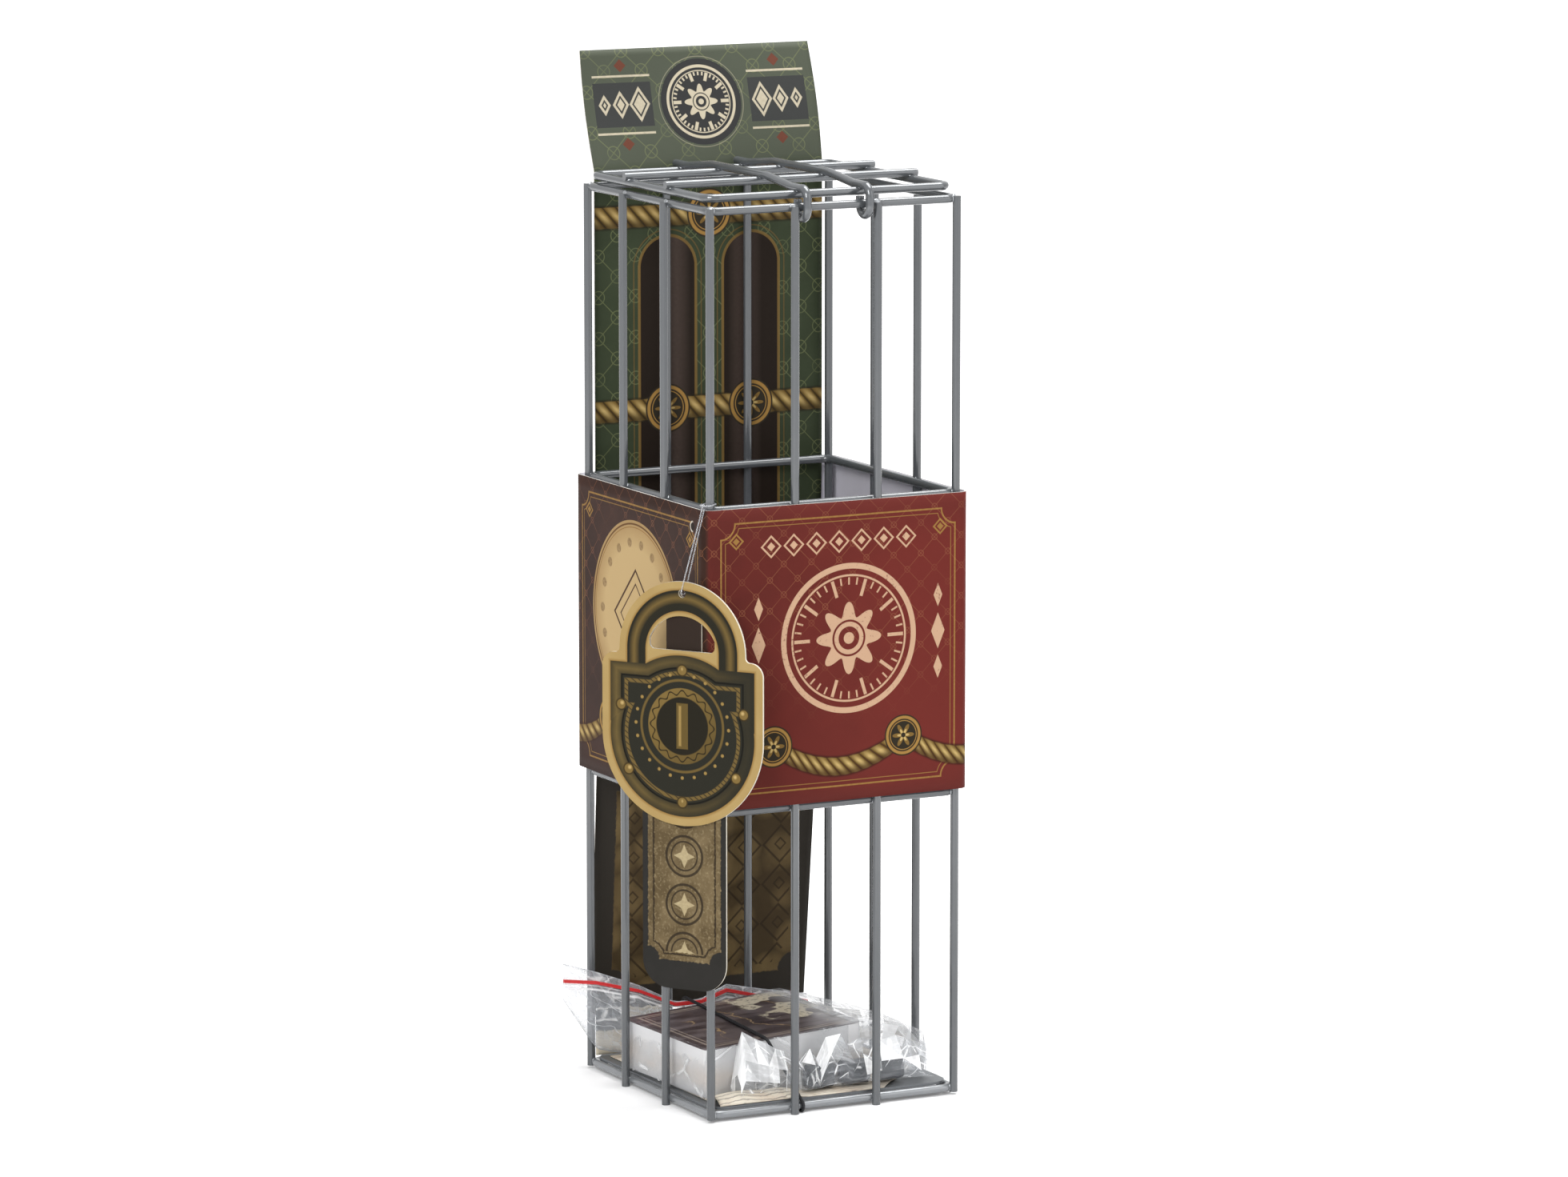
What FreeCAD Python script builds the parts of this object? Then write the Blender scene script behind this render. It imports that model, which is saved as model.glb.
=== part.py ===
import FreeCAD, Part
import math
import os

# A bottle lock box: a tall cage of welded wire with a hinged wire lid, wrapped by a
# printed card band, with a card standing behind it, two card tags on a string and a
# small packed set tied to the floor by an elastic cord.
#
# Millimetres. +Z is up and Z = 0 is the surface that the bars stand on. The origin is
# the centre of the cage's square footprint. The front is -Y, the left side is -X.

Vector = FreeCAD.Vector

# Cage: straight uprights welded to the outside of four bent square rings.
wire_diameter = 3.0
weld_bite = 0.8                  # how far two crossing wires are pressed into each other
cage_width = 105.0               # across the outer sides of opposite bars
bar_offset = 16.5                # bars stand this far to each side of a face's centre
ring_bend_radius = 4.0           # on the wire's centre line
ring_bottom_z = 2.5
ring_lower_z = 111.8
ring_upper_z = 220.5
ring_top_z = 326.2
post_rise = 1.0                  # post tops above the top ring's centre line
bar_rise = 0.4                   # bar tops above the top ring's centre line
post_lift = 1.0                  # post feet above the surface

# Floor: a steel sheet welded on the bottom ring.
floor_thickness = 1.0
floor_corner_radius = 6.0
floor_inset = 0.6                # edge inside the bottom ring's centre line

# Lid: a bent frame, two cross wires on it and two hinge wires on those.
lid_lift = 4.2                   # frame above the top ring, centre line to centre line
lid_setback = 3.6                # frame's front wire behind the ring's front wire
lid_back_inset = 2.2             # frame's back wire in front of the ring's back wire
lid_side_inset = 0.8             # frame's side wires inside the ring's side wires
lid_bend_radius = 4.0
cross_offset = 16.5              # cross wires this far before and behind the middle
cross_overhang = 2.4             # past the centre lines of the frame's side wires
hinge_offset = 12.4              # hinge wires this far left and right of the middle
hinge_overhang = 4.8             # past the centre line of the frame's back wire
hinge_level_run = 5.0            # level stretch past each wire that a hinge wire lies on
hinge_bend_radius = 20.0
loop_radius = 3.7                # hinge loop round the ring wire, on its centre line
loop_drop = 0.4                  # loop's lower bend below the ring's centre line
loop_end_gap = 0.4               # loop's end below the lid frame's front wire

# Sleeve: a printed card band, folded round the bars and glued in a lap at the back.
sleeve_bottom_z = 113.4
sleeve_top_z = 221.2
sleeve_thickness = 0.5
sleeve_corner_radius = 3.5       # on the inside
sleeve_lap_width = 16.0
sleeve_hole_radius = 1.6
sleeve_hole_from_corner = 10.0   # hole in the left face, from the front face
sleeve_hole_drop = 6.7           # below the top edge

# Display card: stands behind the back bars, held by the sleeve, header leaning back.
card_width = 93.0
card_shift = 1.6                 # middle of the card, right of the cage's middle
card_thickness = 0.5
card_bottom_z = 17.0
card_fold_z = 331.0
card_header_length = 44.5
card_header_lean = 15.5          # degrees
card_tail_z = 108.0              # the tail hangs free below this
card_tail_lean = 4.2             # degrees
card_tail_taper = 4.0            # right side drawn in at the lower edge, from the sleeve's top
card_fold_radius = 8.0

# Packed set on the floor. It is packed to fill the floor, so each piece keeps its room to
# the centre lines of the bottom ring's four sides.
leaflet_thickness = 0.6
leaflet_side_room = 3.8
leaflet_front_room = 2.8
leaflet_back_room = 6.8
deck_height = 17.8               # along its left side
deck_corner_radius = 3.0
deck_turn = 2.9                  # degrees, seen from above
deck_tilt = 3.0                  # degrees, loose cards make the right side higher
deck_left_room = 4.3
deck_right_room = 28.3
deck_front_room = 10.8
deck_back_room = 25.7
top_card_thickness = 0.4
folded_leaflet_depth = 3.0
folded_leaflet_height = 15.0
folded_leaflet_left_room = 2.8
folded_leaflet_cord_clear = 11.0  # right end to the elastic cord's hook
folded_leaflet_back_room = 4.1   # to its middle
folded_leaflet_turn = -4.0       # degrees

# Zip bag: the mouth stands behind the deck, its left end pokes out between the bars.
# Each station is a place in plan with the heights of the bag's lower edge, its strip and
# its upper edge, as shares of the bag's width, sway and height.
zip_bag_height = 36.2
zip_bag_thickness = 0.8
zip_bag_left_poke = 15.2         # past the ring's left side
zip_bag_right_room = 14.8
zip_bag_deck_clear = 6.3         # behind the deck
zip_bag_back_room = 7.0          # before the back bars
zip_bag_rest = 0.2               # lowest edge above the leaflet
zip_bag_shares = [
    (0.00, 0.95, 0.62, 0.82, 1.00),
    (0.12, 0.62, 0.10, 0.79, 0.90),
    (0.28, 0.28, 0.00, 0.68, 0.74),
    (0.42, 0.05, 0.00, 0.515, 0.54),
    (0.53, 0.05, 0.00, 0.515, 0.54),
    (0.64, 0.12, 0.00, 0.60, 0.66),
    (0.80, 0.25, 0.00, 0.48, 0.56),
    (1.00, 0.45, 0.00, 0.37, 0.45),
]
zip_strip_thickness = 1.0
zip_strip_height = 1.2

# Puzzle bag: a crumpled clear bag before the deck, round three small pieces.
# Each station is a share of the width, then shares of the depth and height for the
# front foot, front brow, peak, back brow and back foot.
puzzle_bag_height = 25.0
puzzle_bag_left_room = 12.8
puzzle_bag_right_room = 4.8
puzzle_bag_front_room = 0.2
puzzle_bag_deck_clear = 0.6      # before the deck
puzzle_bag_shares = [
    (0.00, ((0.30, 0.00), (0.25, 0.35), (0.50, 0.62), (0.80, 0.40), (0.75, 0.00))),
    (0.06, ((0.05, 0.00), (0.10, 0.45), (0.45, 0.98), (0.90, 0.60), (0.95, 0.00))),
    (0.24, ((0.00, 0.00), (0.15, 0.40), (0.55, 0.60), (0.95, 0.55), (1.00, 0.00))),
    (0.38, ((0.05, 0.00), (0.00, 0.50), (0.40, 0.84), (0.90, 0.65), (1.00, 0.00))),
    (0.55, ((0.00, 0.00), (0.10, 0.55), (0.60, 0.86), (0.95, 0.60), (0.95, 0.00))),
    (0.74, ((0.05, 0.00), (0.00, 0.45), (0.45, 0.76), (0.90, 0.70), (1.00, 0.00))),
    (0.92, ((0.10, 0.00), (0.05, 0.50), (0.55, 0.78), (0.95, 0.55), (0.95, 0.00))),
    (1.00, ((0.35, 0.00), (0.30, 0.25), (0.55, 0.42), (0.75, 0.30), (0.75, 0.00))),
]
piece_width = 12.0
piece_depth = 4.5
piece_height = 8.5
piece_chamfer = 1.0
piece_lift = 1.0                 # above the bag's underside
piece_gap = 2.4                  # from one piece to the next
piece_middle_share = 0.6         # middle piece along the bag's width
piece_turns = (4.0, -3.0, 5.0)   # degrees

# Elastic cord: hooked round the ring's front wire, over the deck, round the back wire.
elastic_diameter = 1.2
elastic_gap = 0.06               # to what it is pulled against
elastic_front_x = -13.0
elastic_edge_x = -21.5           # where it crosses the deck's front edge
elastic_back_x = -17.5           # where it leaves the bag's mouth
elastic_hook_x = -11.0           # on the ring's back wire
elastic_bend_radius = 4.0
elastic_edge_reach = 2.0         # bend's corner before the deck's front edge
elastic_back_run = 3.0           # level run past the bag's mouth
elastic_hook_start = 148.0       # degrees round the ring wire, from the inner side
elastic_hook_turn = 205.0        # degrees
elastic_clear = 0.3              # slot in the puzzle bag round the cord
foot_trim = 0.1                  # cord pressed flat this far above the surface

# Tags: two card shapes that hang before the front left corner, turned out over it.
tag_azimuth = 55.0               # degrees, the way the tags face, from -Y towards -X
tag_clear = 0.35                 # sleeve to bottle tag, bottle tag to padlock tag
tag_shift = 4.1                  # middle of the tags along their own width
padlock_tag_thickness = 1.0
padlock_hole_z = 191.4
padlock_hole_radius = 1.5
padlock_half_width = 32.2
padlock_round_z = 140.4          # centre of the round lower end
padlock_shoulder_z = 168.6
padlock_shoulder_radius = 5.0
padlock_shackle_radius = 25.2    # outside
padlock_shackle_z = 170.5        # centre of the shackle's bend
padlock_window_half = 13.1
padlock_window_z = 171.0         # lower edge of the window
padlock_window_height = 12.4
padlock_window_corner = 2.0
bottle_tag_thickness = 0.8
bottle_half_width = 16.8
bottle_bottom_z = 48.7
bottle_shoulder_z = 146.0
bottle_shoulder_rise = 14.0
bottle_neck_half = 7.0
bottle_top_rise = 3.6            # above the hole
bottle_corner_radius = 10.0

# String: a loop round the post and a hairpin through both tags.
string_diameter = 0.5
string_gap = 0.1                 # loop to hairpin, where they link
string_stand_off = 0.3           # to the post and to the tags' faces
string_reach = 1.35              # loop's front past the sleeve's corner
string_loop_lift = 1.0           # loop's centre line above the upper ring's wire

cord_sides = 8                   # flat sides of the elastic cord and the string
overrun = 5.0                    # cuts run past what they cut by this much

# Worked out from the sizes above.
wire_radius = wire_diameter / 2
weld_pitch = wire_diameter - weld_bite
bar_line = cage_width / 2 - wire_radius
ring_half = bar_line - weld_pitch
post_line = ring_half - ring_bend_radius + (ring_bend_radius + weld_pitch) / math.sqrt(2)
floor_z = ring_bottom_z + wire_radius
floor_top_z = floor_z + floor_thickness
lid_half_width = ring_half - lid_side_inset
lid_z = ring_top_z + lid_lift
lid_front_y = -ring_half + lid_setback
lid_back_y = ring_half - lid_back_inset
sleeve_inner_half = cage_width / 2
sleeve_back_y = sleeve_inner_half + card_thickness
set_z = floor_top_z + leaflet_thickness
deck_slope = math.tan(math.radians(deck_turn))
deck_rise = math.tan(math.radians(deck_tilt))
deck_width = 2 * ring_half - deck_left_room - deck_right_room
deck_depth = 2 * ring_half - deck_front_room - deck_back_room
deck_corner_x = -ring_half + deck_left_room
deck_corner_y = -ring_half + deck_front_room
deck_back_y = deck_corner_y + deck_depth + deck_width * deck_slope
deck_top_z = set_z + deck_height + top_card_thickness

os.makedirs("parts", exist_ok=True)


def save(node, shape):
    """Write one piece as a STEP file."""
    shape.exportStep("parts/" + node + ".step")


def rounded_wire(points, radii):
    """Straight runs between points, with a tangent arc of the given radius at each inner point."""
    edges = []
    start = points[0]
    for before, corner, after, radius in zip(points, points[1:], points[2:], radii):
        back = (before - corner).normalize()
        ahead = (after - corner).normalize()
        half_angle = back.getAngle(ahead) / 2
        reach = radius / math.tan(half_angle)
        middle = (back + ahead).normalize()
        arc_start = corner + back * reach
        arc_end = corner + ahead * reach
        arc_middle = corner + middle * (radius / math.sin(half_angle) - radius)
        edges.append(Part.LineSegment(start, arc_start).toShape())
        edges.append(Part.Arc(arc_start, arc_middle, arc_end).toShape())
        start = arc_end
    edges.append(Part.LineSegment(start, points[-1]).toShape())
    return Part.Wire(edges)


def swept(path, radius):
    """A round rod along a path of lines and arcs: a cylinder for each line and a disc turned
    about the arc's axis for each arc, joined into one solid."""
    runs = []
    for edge in path.OrderedEdges:
        start = edge.valueAt(edge.FirstParameter)
        tangent = edge.tangentAt(edge.FirstParameter)
        if edge.Curve.TypeId == "Part::GeomLine":
            runs.append(Part.makeCylinder(radius, edge.Length, start, tangent))
        else:
            disc = Part.Face(Part.Wire(Part.Circle(start, tangent, radius).toShape()))
            turn = math.degrees(edge.LastParameter - edge.FirstParameter)
            runs.append(disc.revolve(edge.Curve.Center, edge.Curve.Axis, turn))
    return runs[0].fuse(runs[1:]).removeSplitter()


def cord_along(path, radius):
    """A cord with a few flat sides, drawn inside its round section, along lines and arcs."""
    first = path.OrderedEdges[0]
    start = first.valueAt(first.FirstParameter)
    tangent = first.tangentAt(first.FirstParameter)
    corners = Part.Circle(start, tangent, radius).toShape().discretize(cord_sides + 1)
    return path.makePipeShell([Part.makePolygon(corners)], True, False)


def square_ring(half_x, front_y, back_y, z, bend_radius, radius):
    """A closed rounded rectangle of wire, swept from the middle of its back side."""
    corners = [
        Vector(0, back_y, z),
        Vector(half_x, back_y, z),
        Vector(half_x, front_y, z),
        Vector(-half_x, front_y, z),
        Vector(-half_x, back_y, z),
        Vector(0, back_y, z),
    ]
    return swept(rounded_wire(corners, [bend_radius] * 4), radius)


def upright(x, y, bottom_z, top_z):
    """A straight vertical wire."""
    return Part.makeCylinder(wire_radius, top_z - bottom_z, Vector(x, y, bottom_z))


def rounded_rectangle(low_x, low_y, high_x, high_y, radius, z):
    """A face in the XY plane with rounded corners."""
    middle_x = (low_x + high_x) / 2
    points = [
        Vector(middle_x, low_y, z),
        Vector(high_x, low_y, z),
        Vector(high_x, high_y, z),
        Vector(low_x, high_y, z),
        Vector(low_x, low_y, z),
        Vector(middle_x, low_y, z),
    ]
    return Part.Face(rounded_wire(points, [radius] * 4))


# Uprights.
posts = {
    "post_front_left": (-post_line, -post_line),
    "post_front_right": (post_line, -post_line),
    "post_back_left": (-post_line, post_line),
    "post_back_right": (post_line, post_line),
}
bars = {
    "bar_front_1": (-bar_offset, -bar_line),
    "bar_front_2": (bar_offset, -bar_line),
    "bar_back_1": (-bar_offset, bar_line),
    "bar_back_2": (bar_offset, bar_line),
    "bar_left_1": (-bar_line, -bar_offset),
    "bar_left_2": (-bar_line, bar_offset),
    "bar_right_1": (bar_line, -bar_offset),
    "bar_right_2": (bar_line, bar_offset),
}
uprights = []
for node, (x, y) in posts.items():
    post = upright(x, y, post_lift, ring_top_z + post_rise)
    uprights.append(post)
    save(node, post)
for node, (x, y) in bars.items():
    bar = upright(x, y, 0, ring_top_z + bar_rise)
    uprights.append(bar)
    save(node, bar)

# Rings, each dented where the uprights are pressed into it.
rings = {
    "ring_bottom": ring_bottom_z,
    "ring_lower": ring_lower_z,
    "ring_upper": ring_upper_z,
    "ring_top": ring_top_z,
}
for node, z in rings.items():
    ring = square_ring(ring_half, -ring_half, ring_half, z, ring_bend_radius, wire_radius)
    save(node, ring.cut(uprights))

# Floor sheet on the bottom ring.
floor_half = ring_half - floor_inset
floor_face = rounded_rectangle(
    -floor_half, -floor_half, floor_half, floor_half, floor_corner_radius, floor_z,
)
save("floor_plate", floor_face.extrude(Vector(0, 0, floor_thickness)))

# Lid. The frame is dented by the wires on it, and the cross wires by the hinge wires.
lid_frame = square_ring(lid_half_width, lid_front_y, lid_back_y, lid_z, lid_bend_radius, wire_radius)
cross_z = lid_z + weld_pitch
cross_half = lid_half_width + cross_overhang
cross_wires = {
    "lid_cross_wire_front": -cross_offset,
    "lid_cross_wire_back": cross_offset,
}
hinge_low_z = lid_z + weld_pitch
hinge_high_z = cross_z + weld_pitch
loop_front_y = -ring_half - loop_radius
loop_back_y = -ring_half + loop_radius
loop_bend_z = ring_top_z - loop_drop
loop_end_z = lid_z - wire_radius - loop_end_gap


def hinge_wire(x):
    """One hinge wire: low on the frame's back wire, over the cross wires, low again on the
    frame's front wire, then down, under and up round the cage's front top wire."""
    points = [
        Vector(x, lid_back_y + hinge_overhang, hinge_low_z),
        Vector(x, lid_back_y - hinge_level_run, hinge_low_z),
        Vector(x, cross_offset + hinge_level_run, hinge_high_z),
        Vector(x, -cross_offset - hinge_level_run, hinge_high_z),
        Vector(x, lid_front_y + hinge_level_run, hinge_low_z),
        Vector(x, loop_front_y, hinge_low_z),
        Vector(x, loop_front_y, loop_bend_z),
    ]
    radii = [hinge_bend_radius] * 4 + [loop_radius]
    upper = rounded_wire(points, radii)
    under = Part.Arc(
        Vector(x, loop_front_y, loop_bend_z),
        Vector(x, -ring_half, loop_bend_z - loop_radius),
        Vector(x, loop_back_y, loop_bend_z),
    )
    tail = Part.LineSegment(Vector(x, loop_back_y, loop_bend_z), Vector(x, loop_back_y, loop_end_z))
    path = Part.Wire(upper.OrderedEdges + [under.toShape(), tail.toShape()])
    return swept(path, wire_radius)


hinge_left = hinge_wire(-hinge_offset)
hinge_right = hinge_wire(hinge_offset)
hinges = [hinge_left, hinge_right]
crosses = []
for node, y in cross_wires.items():
    start = Vector(-cross_half, y, cross_z)
    cross = Part.makeCylinder(wire_radius, 2 * cross_half, start, Vector(1, 0, 0))
    crosses.append(cross)
    save(node, cross.cut(hinges))
save("lid_frame", lid_frame.cut(crosses + hinges))
save("lid_hinge_wire_left", hinge_left)
save("lid_hinge_wire_right", hinge_right)

# Sleeve. Its inside lies on the bars, and at the back on the display card.
sleeve_height = sleeve_top_z - sleeve_bottom_z
sleeve_outer_half = sleeve_inner_half + sleeve_thickness
sleeve_outer_radius = sleeve_corner_radius + sleeve_thickness
sleeve_outer_back_y = sleeve_back_y + sleeve_thickness
sleeve_outer = rounded_rectangle(
    -sleeve_outer_half, -sleeve_outer_half, sleeve_outer_half, sleeve_outer_back_y,
    sleeve_outer_radius, sleeve_bottom_z,
)
sleeve_inner = rounded_rectangle(
    -sleeve_inner_half, -sleeve_inner_half, sleeve_inner_half, sleeve_back_y,
    sleeve_corner_radius, sleeve_bottom_z,
)
sleeve = sleeve_outer.cut(sleeve_inner).extrude(Vector(0, 0, sleeve_height))
lap_end_x = sleeve_outer_half - sleeve_outer_radius
lap = Part.makeBox(
    sleeve_lap_width, sleeve_thickness, sleeve_height,
    Vector(lap_end_x - sleeve_lap_width, sleeve_outer_back_y, sleeve_bottom_z),
)
punch = Part.makeCylinder(
    sleeve_hole_radius, sleeve_thickness + 2 * overrun,
    Vector(
        -sleeve_outer_half - overrun,
        -sleeve_outer_half + sleeve_hole_from_corner,
        sleeve_top_z - sleeve_hole_drop,
    ),
    Vector(1, 0, 0),
)
save("sleeve", sleeve.fuse(lap).removeSplitter().cut(punch))

# Display card: a bent strip in side view, trimmed to its outline in front view.
header_lean = math.radians(card_header_lean)
tail_lean = math.radians(card_tail_lean)
card_y = sleeve_inner_half
card_path = rounded_wire(
    [
        Vector(0, card_y + (card_tail_z - card_bottom_z) * math.tan(tail_lean), card_bottom_z),
        Vector(0, card_y, card_tail_z),
        Vector(0, card_y, card_fold_z),
        Vector(
            0,
            card_y + card_header_length * math.sin(header_lean),
            card_fold_z + card_header_length * math.cos(header_lean),
        ),
    ],
    [card_fold_radius] * 2,
)
card_section = card_path.makeOffset2D(card_thickness, 2, True, True)
card_left_x = card_shift - card_width / 2
card_right_x = card_shift + card_width / 2
card_section.translate(Vector(card_left_x, 0, 0))
card_strip = card_section.extrude(Vector(card_width, 0, 0))
card_top_z = card_fold_z + card_header_length + overrun
card_outline = [
    (card_left_x, card_top_z),
    (card_right_x, card_top_z),
    (card_right_x, sleeve_top_z),
    (card_right_x - card_tail_taper, card_bottom_z),
    (card_right_x - card_tail_taper, card_bottom_z - overrun),
    (card_left_x, card_bottom_z - overrun),
]
card_points = [Vector(x, card_y - overrun, z) for x, z in card_outline]
card_trim = Part.Face(Part.makePolygon(card_points + card_points[:1]))
card_trim_depth = card_header_length + 2 * overrun
save("display_card", card_strip.common(card_trim.extrude(Vector(0, card_trim_depth, 0))))

# Leaflet, deck and top card, stacked on the floor.
leaflet_half_width = ring_half - leaflet_side_room
leaflet_front_y = -ring_half + leaflet_front_room
leaflet_depth = ring_half - leaflet_back_room - leaflet_front_y
leaflet = Part.makeBox(
    2 * leaflet_half_width, leaflet_depth, leaflet_thickness,
    Vector(-leaflet_half_width, leaflet_front_y, floor_top_z),
)
save("leaflet_sheet", leaflet)


def deck_slab(low, high):
    """A slab with a card's outline between two heights over the deck's foot, placed like the
    deck: its faces rise to the right about the left side."""
    face = rounded_rectangle(0, 0, deck_width, deck_depth, deck_corner_radius, low)
    slab = face.extrude(Vector(0, 0, high - low))
    slab.rotate(Vector(0, 0, 0), Vector(0, 1, 0), -deck_tilt)
    slab.rotate(Vector(0, 0, 0), Vector(0, 0, 1), deck_turn)
    slab.translate(Vector(deck_corner_x, deck_corner_y, set_z))
    return slab


under_set = Part.makeBox(
    cage_width, cage_width, cage_width,
    Vector(-cage_width / 2, -cage_width / 2, set_z - cage_width),
)
save("card_deck", deck_slab(-overrun, deck_height).cut(under_set))
save("deck_top_card", deck_slab(deck_height, deck_height + top_card_thickness))

folded_leaflet_left_x = -ring_half + folded_leaflet_left_room
folded_leaflet_right_x = elastic_hook_x - folded_leaflet_cord_clear
folded_leaflet_width = folded_leaflet_right_x - folded_leaflet_left_x
folded = Part.makeBox(
    folded_leaflet_width, folded_leaflet_depth, folded_leaflet_height,
    Vector(-folded_leaflet_width / 2, -folded_leaflet_depth / 2, 0),
)
folded.rotate(Vector(0, 0, 0), Vector(0, 0, 1), folded_leaflet_turn)
folded.translate(Vector(
    (folded_leaflet_left_x + folded_leaflet_right_x) / 2,
    ring_half - folded_leaflet_back_room,
    floor_top_z,
))
save("leaflet_folded", folded)


def upright_strip(stations, front_y, back_y):
    """A thin wall through upright rectangles: each station has x, y, lower z and upper z."""
    sections = []
    for x, y, low_z, high_z in stations:
        points = [
            Vector(x, y + front_y, low_z),
            Vector(x, y + back_y, low_z),
            Vector(x, y + back_y, high_z),
            Vector(x, y + front_y, high_z),
        ]
        sections.append(Part.makePolygon(points + points[:1]))
    return Part.makeLoft(sections, True, True)


# Zip bag's mouth and the strip on its front side, between the deck and the back bars.
bag_z = set_z + zip_bag_rest
zip_bag_left_x = -ring_half - zip_bag_left_poke
zip_bag_width = ring_half - zip_bag_right_room - zip_bag_left_x
zip_bag_back_y = deck_back_y + zip_bag_deck_clear
zip_bag_sway = bar_line - wire_radius - zip_bag_back_room - zip_bag_back_y
mouth = []
strip = []
for along, sway, low, zip_level, high in zip_bag_shares:
    x = zip_bag_left_x + along * zip_bag_width
    y = zip_bag_back_y + sway * zip_bag_sway
    zip_z = bag_z + zip_level * zip_bag_height
    mouth.append((x, y, bag_z + low * zip_bag_height, bag_z + high * zip_bag_height))
    strip.append((x, y, zip_z - zip_strip_height / 2, zip_z + zip_strip_height / 2))
save("zip_bag", upright_strip(mouth, 0, zip_bag_thickness))
save("zip_strip", upright_strip(strip, -zip_strip_thickness, 0))

# Elastic cord: a hook round the ring's front wire, over the deck and the bag's mouth,
# and a hook round the ring's back wire.
elastic_radius = elastic_diameter / 2
hook_radius = wire_radius + elastic_radius + elastic_gap
elastic_edge_y = deck_corner_y + (elastic_edge_x - deck_corner_x) * deck_slope
elastic_back_y = zip_bag_back_y + zip_bag_thickness + elastic_back_run


def over_deck(x, y):
    """A point of the cord's centre line over the deck's rising top."""
    along = (x - deck_corner_x) + (y - deck_corner_y) * deck_slope
    return Vector(x, y, deck_top_z + along * deck_rise + elastic_radius + elastic_gap)


def hook_point(x, side, degrees):
    """A point on the hook round the ring's wire; side is -1 at the front and 1 at the back."""
    angle = math.radians(degrees)
    y = side * (ring_half - hook_radius * math.cos(angle))
    return Vector(x, y, ring_bottom_z + hook_radius * math.sin(angle))


def hook_edge(x, side):
    """The arc of cord round the ring's wire, from the outer upper side to under the floor."""
    end = elastic_hook_start + elastic_hook_turn
    return Part.Arc(
        hook_point(x, side, elastic_hook_start),
        hook_point(x, side, (elastic_hook_start + end) / 2),
        hook_point(x, side, end),
    ).toShape()


over_points = [
    hook_point(elastic_front_x, -1, elastic_hook_start),
    over_deck(elastic_edge_x, elastic_edge_y - elastic_edge_reach),
    over_deck(elastic_back_x, elastic_back_y),
    hook_point(elastic_hook_x, 1, elastic_hook_start),
]
over_path = rounded_wire(over_points, [elastic_bend_radius] * 2)
elastic_parts = [cord_along(over_path, elastic_radius)]
elastic_length = over_path.Length
for x, side in ((elastic_front_x, -1), (elastic_hook_x, 1)):
    hook = Part.Wire([hook_edge(x, side)])
    elastic_length = elastic_length + hook.Length
    knot = Part.makeSphere(elastic_radius, hook_point(x, side, elastic_hook_start))
    elastic_parts = elastic_parts + [cord_along(hook, elastic_radius), knot]
elastic = elastic_parts[0].fuse(elastic_parts[1:])
under_surface = Part.makeBox(
    cage_width, cage_width, cage_width,
    Vector(-cage_width / 2, -cage_width / 2, foot_trim - cage_width),
)
save("elastic_cord", elastic.cut(under_surface))
print("elastic length", round(elastic_length, 1))

# Puzzle pieces and the crumpled bag round them, slotted for the cord. The bag's back edge
# follows the turned deck.
puzzle_bag_left_x = -ring_half + puzzle_bag_left_room
puzzle_bag_width = ring_half - puzzle_bag_right_room - puzzle_bag_left_x
puzzle_bag_front_y = -ring_half + puzzle_bag_front_room
puzzle_bag_depth = deck_corner_y - puzzle_bag_deck_clear - puzzle_bag_front_y
puzzle_bag_skew = puzzle_bag_width * deck_slope
pieces = []
for index, turn in enumerate(piece_turns, start=1):
    from_middle = (index - (len(piece_turns) + 1) / 2) * (piece_width + piece_gap)
    share = piece_middle_share + from_middle / puzzle_bag_width
    piece = Part.makeBox(
        piece_width, piece_depth, piece_height,
        Vector(-piece_width / 2, -piece_depth / 2, 0),
    )
    piece = piece.makeChamfer(piece_chamfer, piece.Edges)
    piece.rotate(Vector(0, 0, 0), Vector(0, 0, 1), turn)
    piece.translate(Vector(
        puzzle_bag_left_x + share * puzzle_bag_width,
        puzzle_bag_front_y + puzzle_bag_depth / 2 + share * puzzle_bag_skew / 2,
        bag_z + piece_lift,
    ))
    pieces.append(piece)
    save("puzzle_piece_" + str(index), piece)
bag_sections = []
for along, outline in puzzle_bag_shares:
    x = puzzle_bag_left_x + along * puzzle_bag_width
    depth = puzzle_bag_depth + along * puzzle_bag_skew
    points = [
        Vector(x, puzzle_bag_front_y + y_share * depth, bag_z + z_share * puzzle_bag_height)
        for y_share, z_share in outline
    ]
    bag_sections.append(Part.makePolygon(points + points[:1]))
puzzle_bag = Part.makeLoft(bag_sections, True, True)
cord_slot = cord_along(over_path, elastic_radius + elastic_clear)
save("puzzle_bag", puzzle_bag.cut(pieces + [cord_slot]))

# Tags. They are drawn upright in a plane that is turned out over the front left corner:
# across runs along the tag's width and out is the distance from the cage's axis.
azimuth = math.radians(tag_azimuth)
across = Vector(math.cos(azimuth), -math.sin(azimuth), 0)
outward = Vector(-math.sin(azimuth), -math.cos(azimuth), 0)
corner_centre = sleeve_inner_half - sleeve_corner_radius
corner_out = corner_centre * (math.sin(azimuth) + math.cos(azimuth)) + sleeve_outer_radius
bottle_out = corner_out + tag_clear
padlock_out = bottle_out + bottle_tag_thickness + tag_clear


def on_tag(along, out, z):
    """A point from its place across the tag, its distance out and its height."""
    return across * along + outward * out + Vector(0, 0, z)


def tag_arc(start, middle, end, out):
    """An arc through three places on a tag's plane, each a pair of across and z."""
    return Part.Arc(*[on_tag(along, out, z) for along, z in (start, middle, end)]).toShape()


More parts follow.
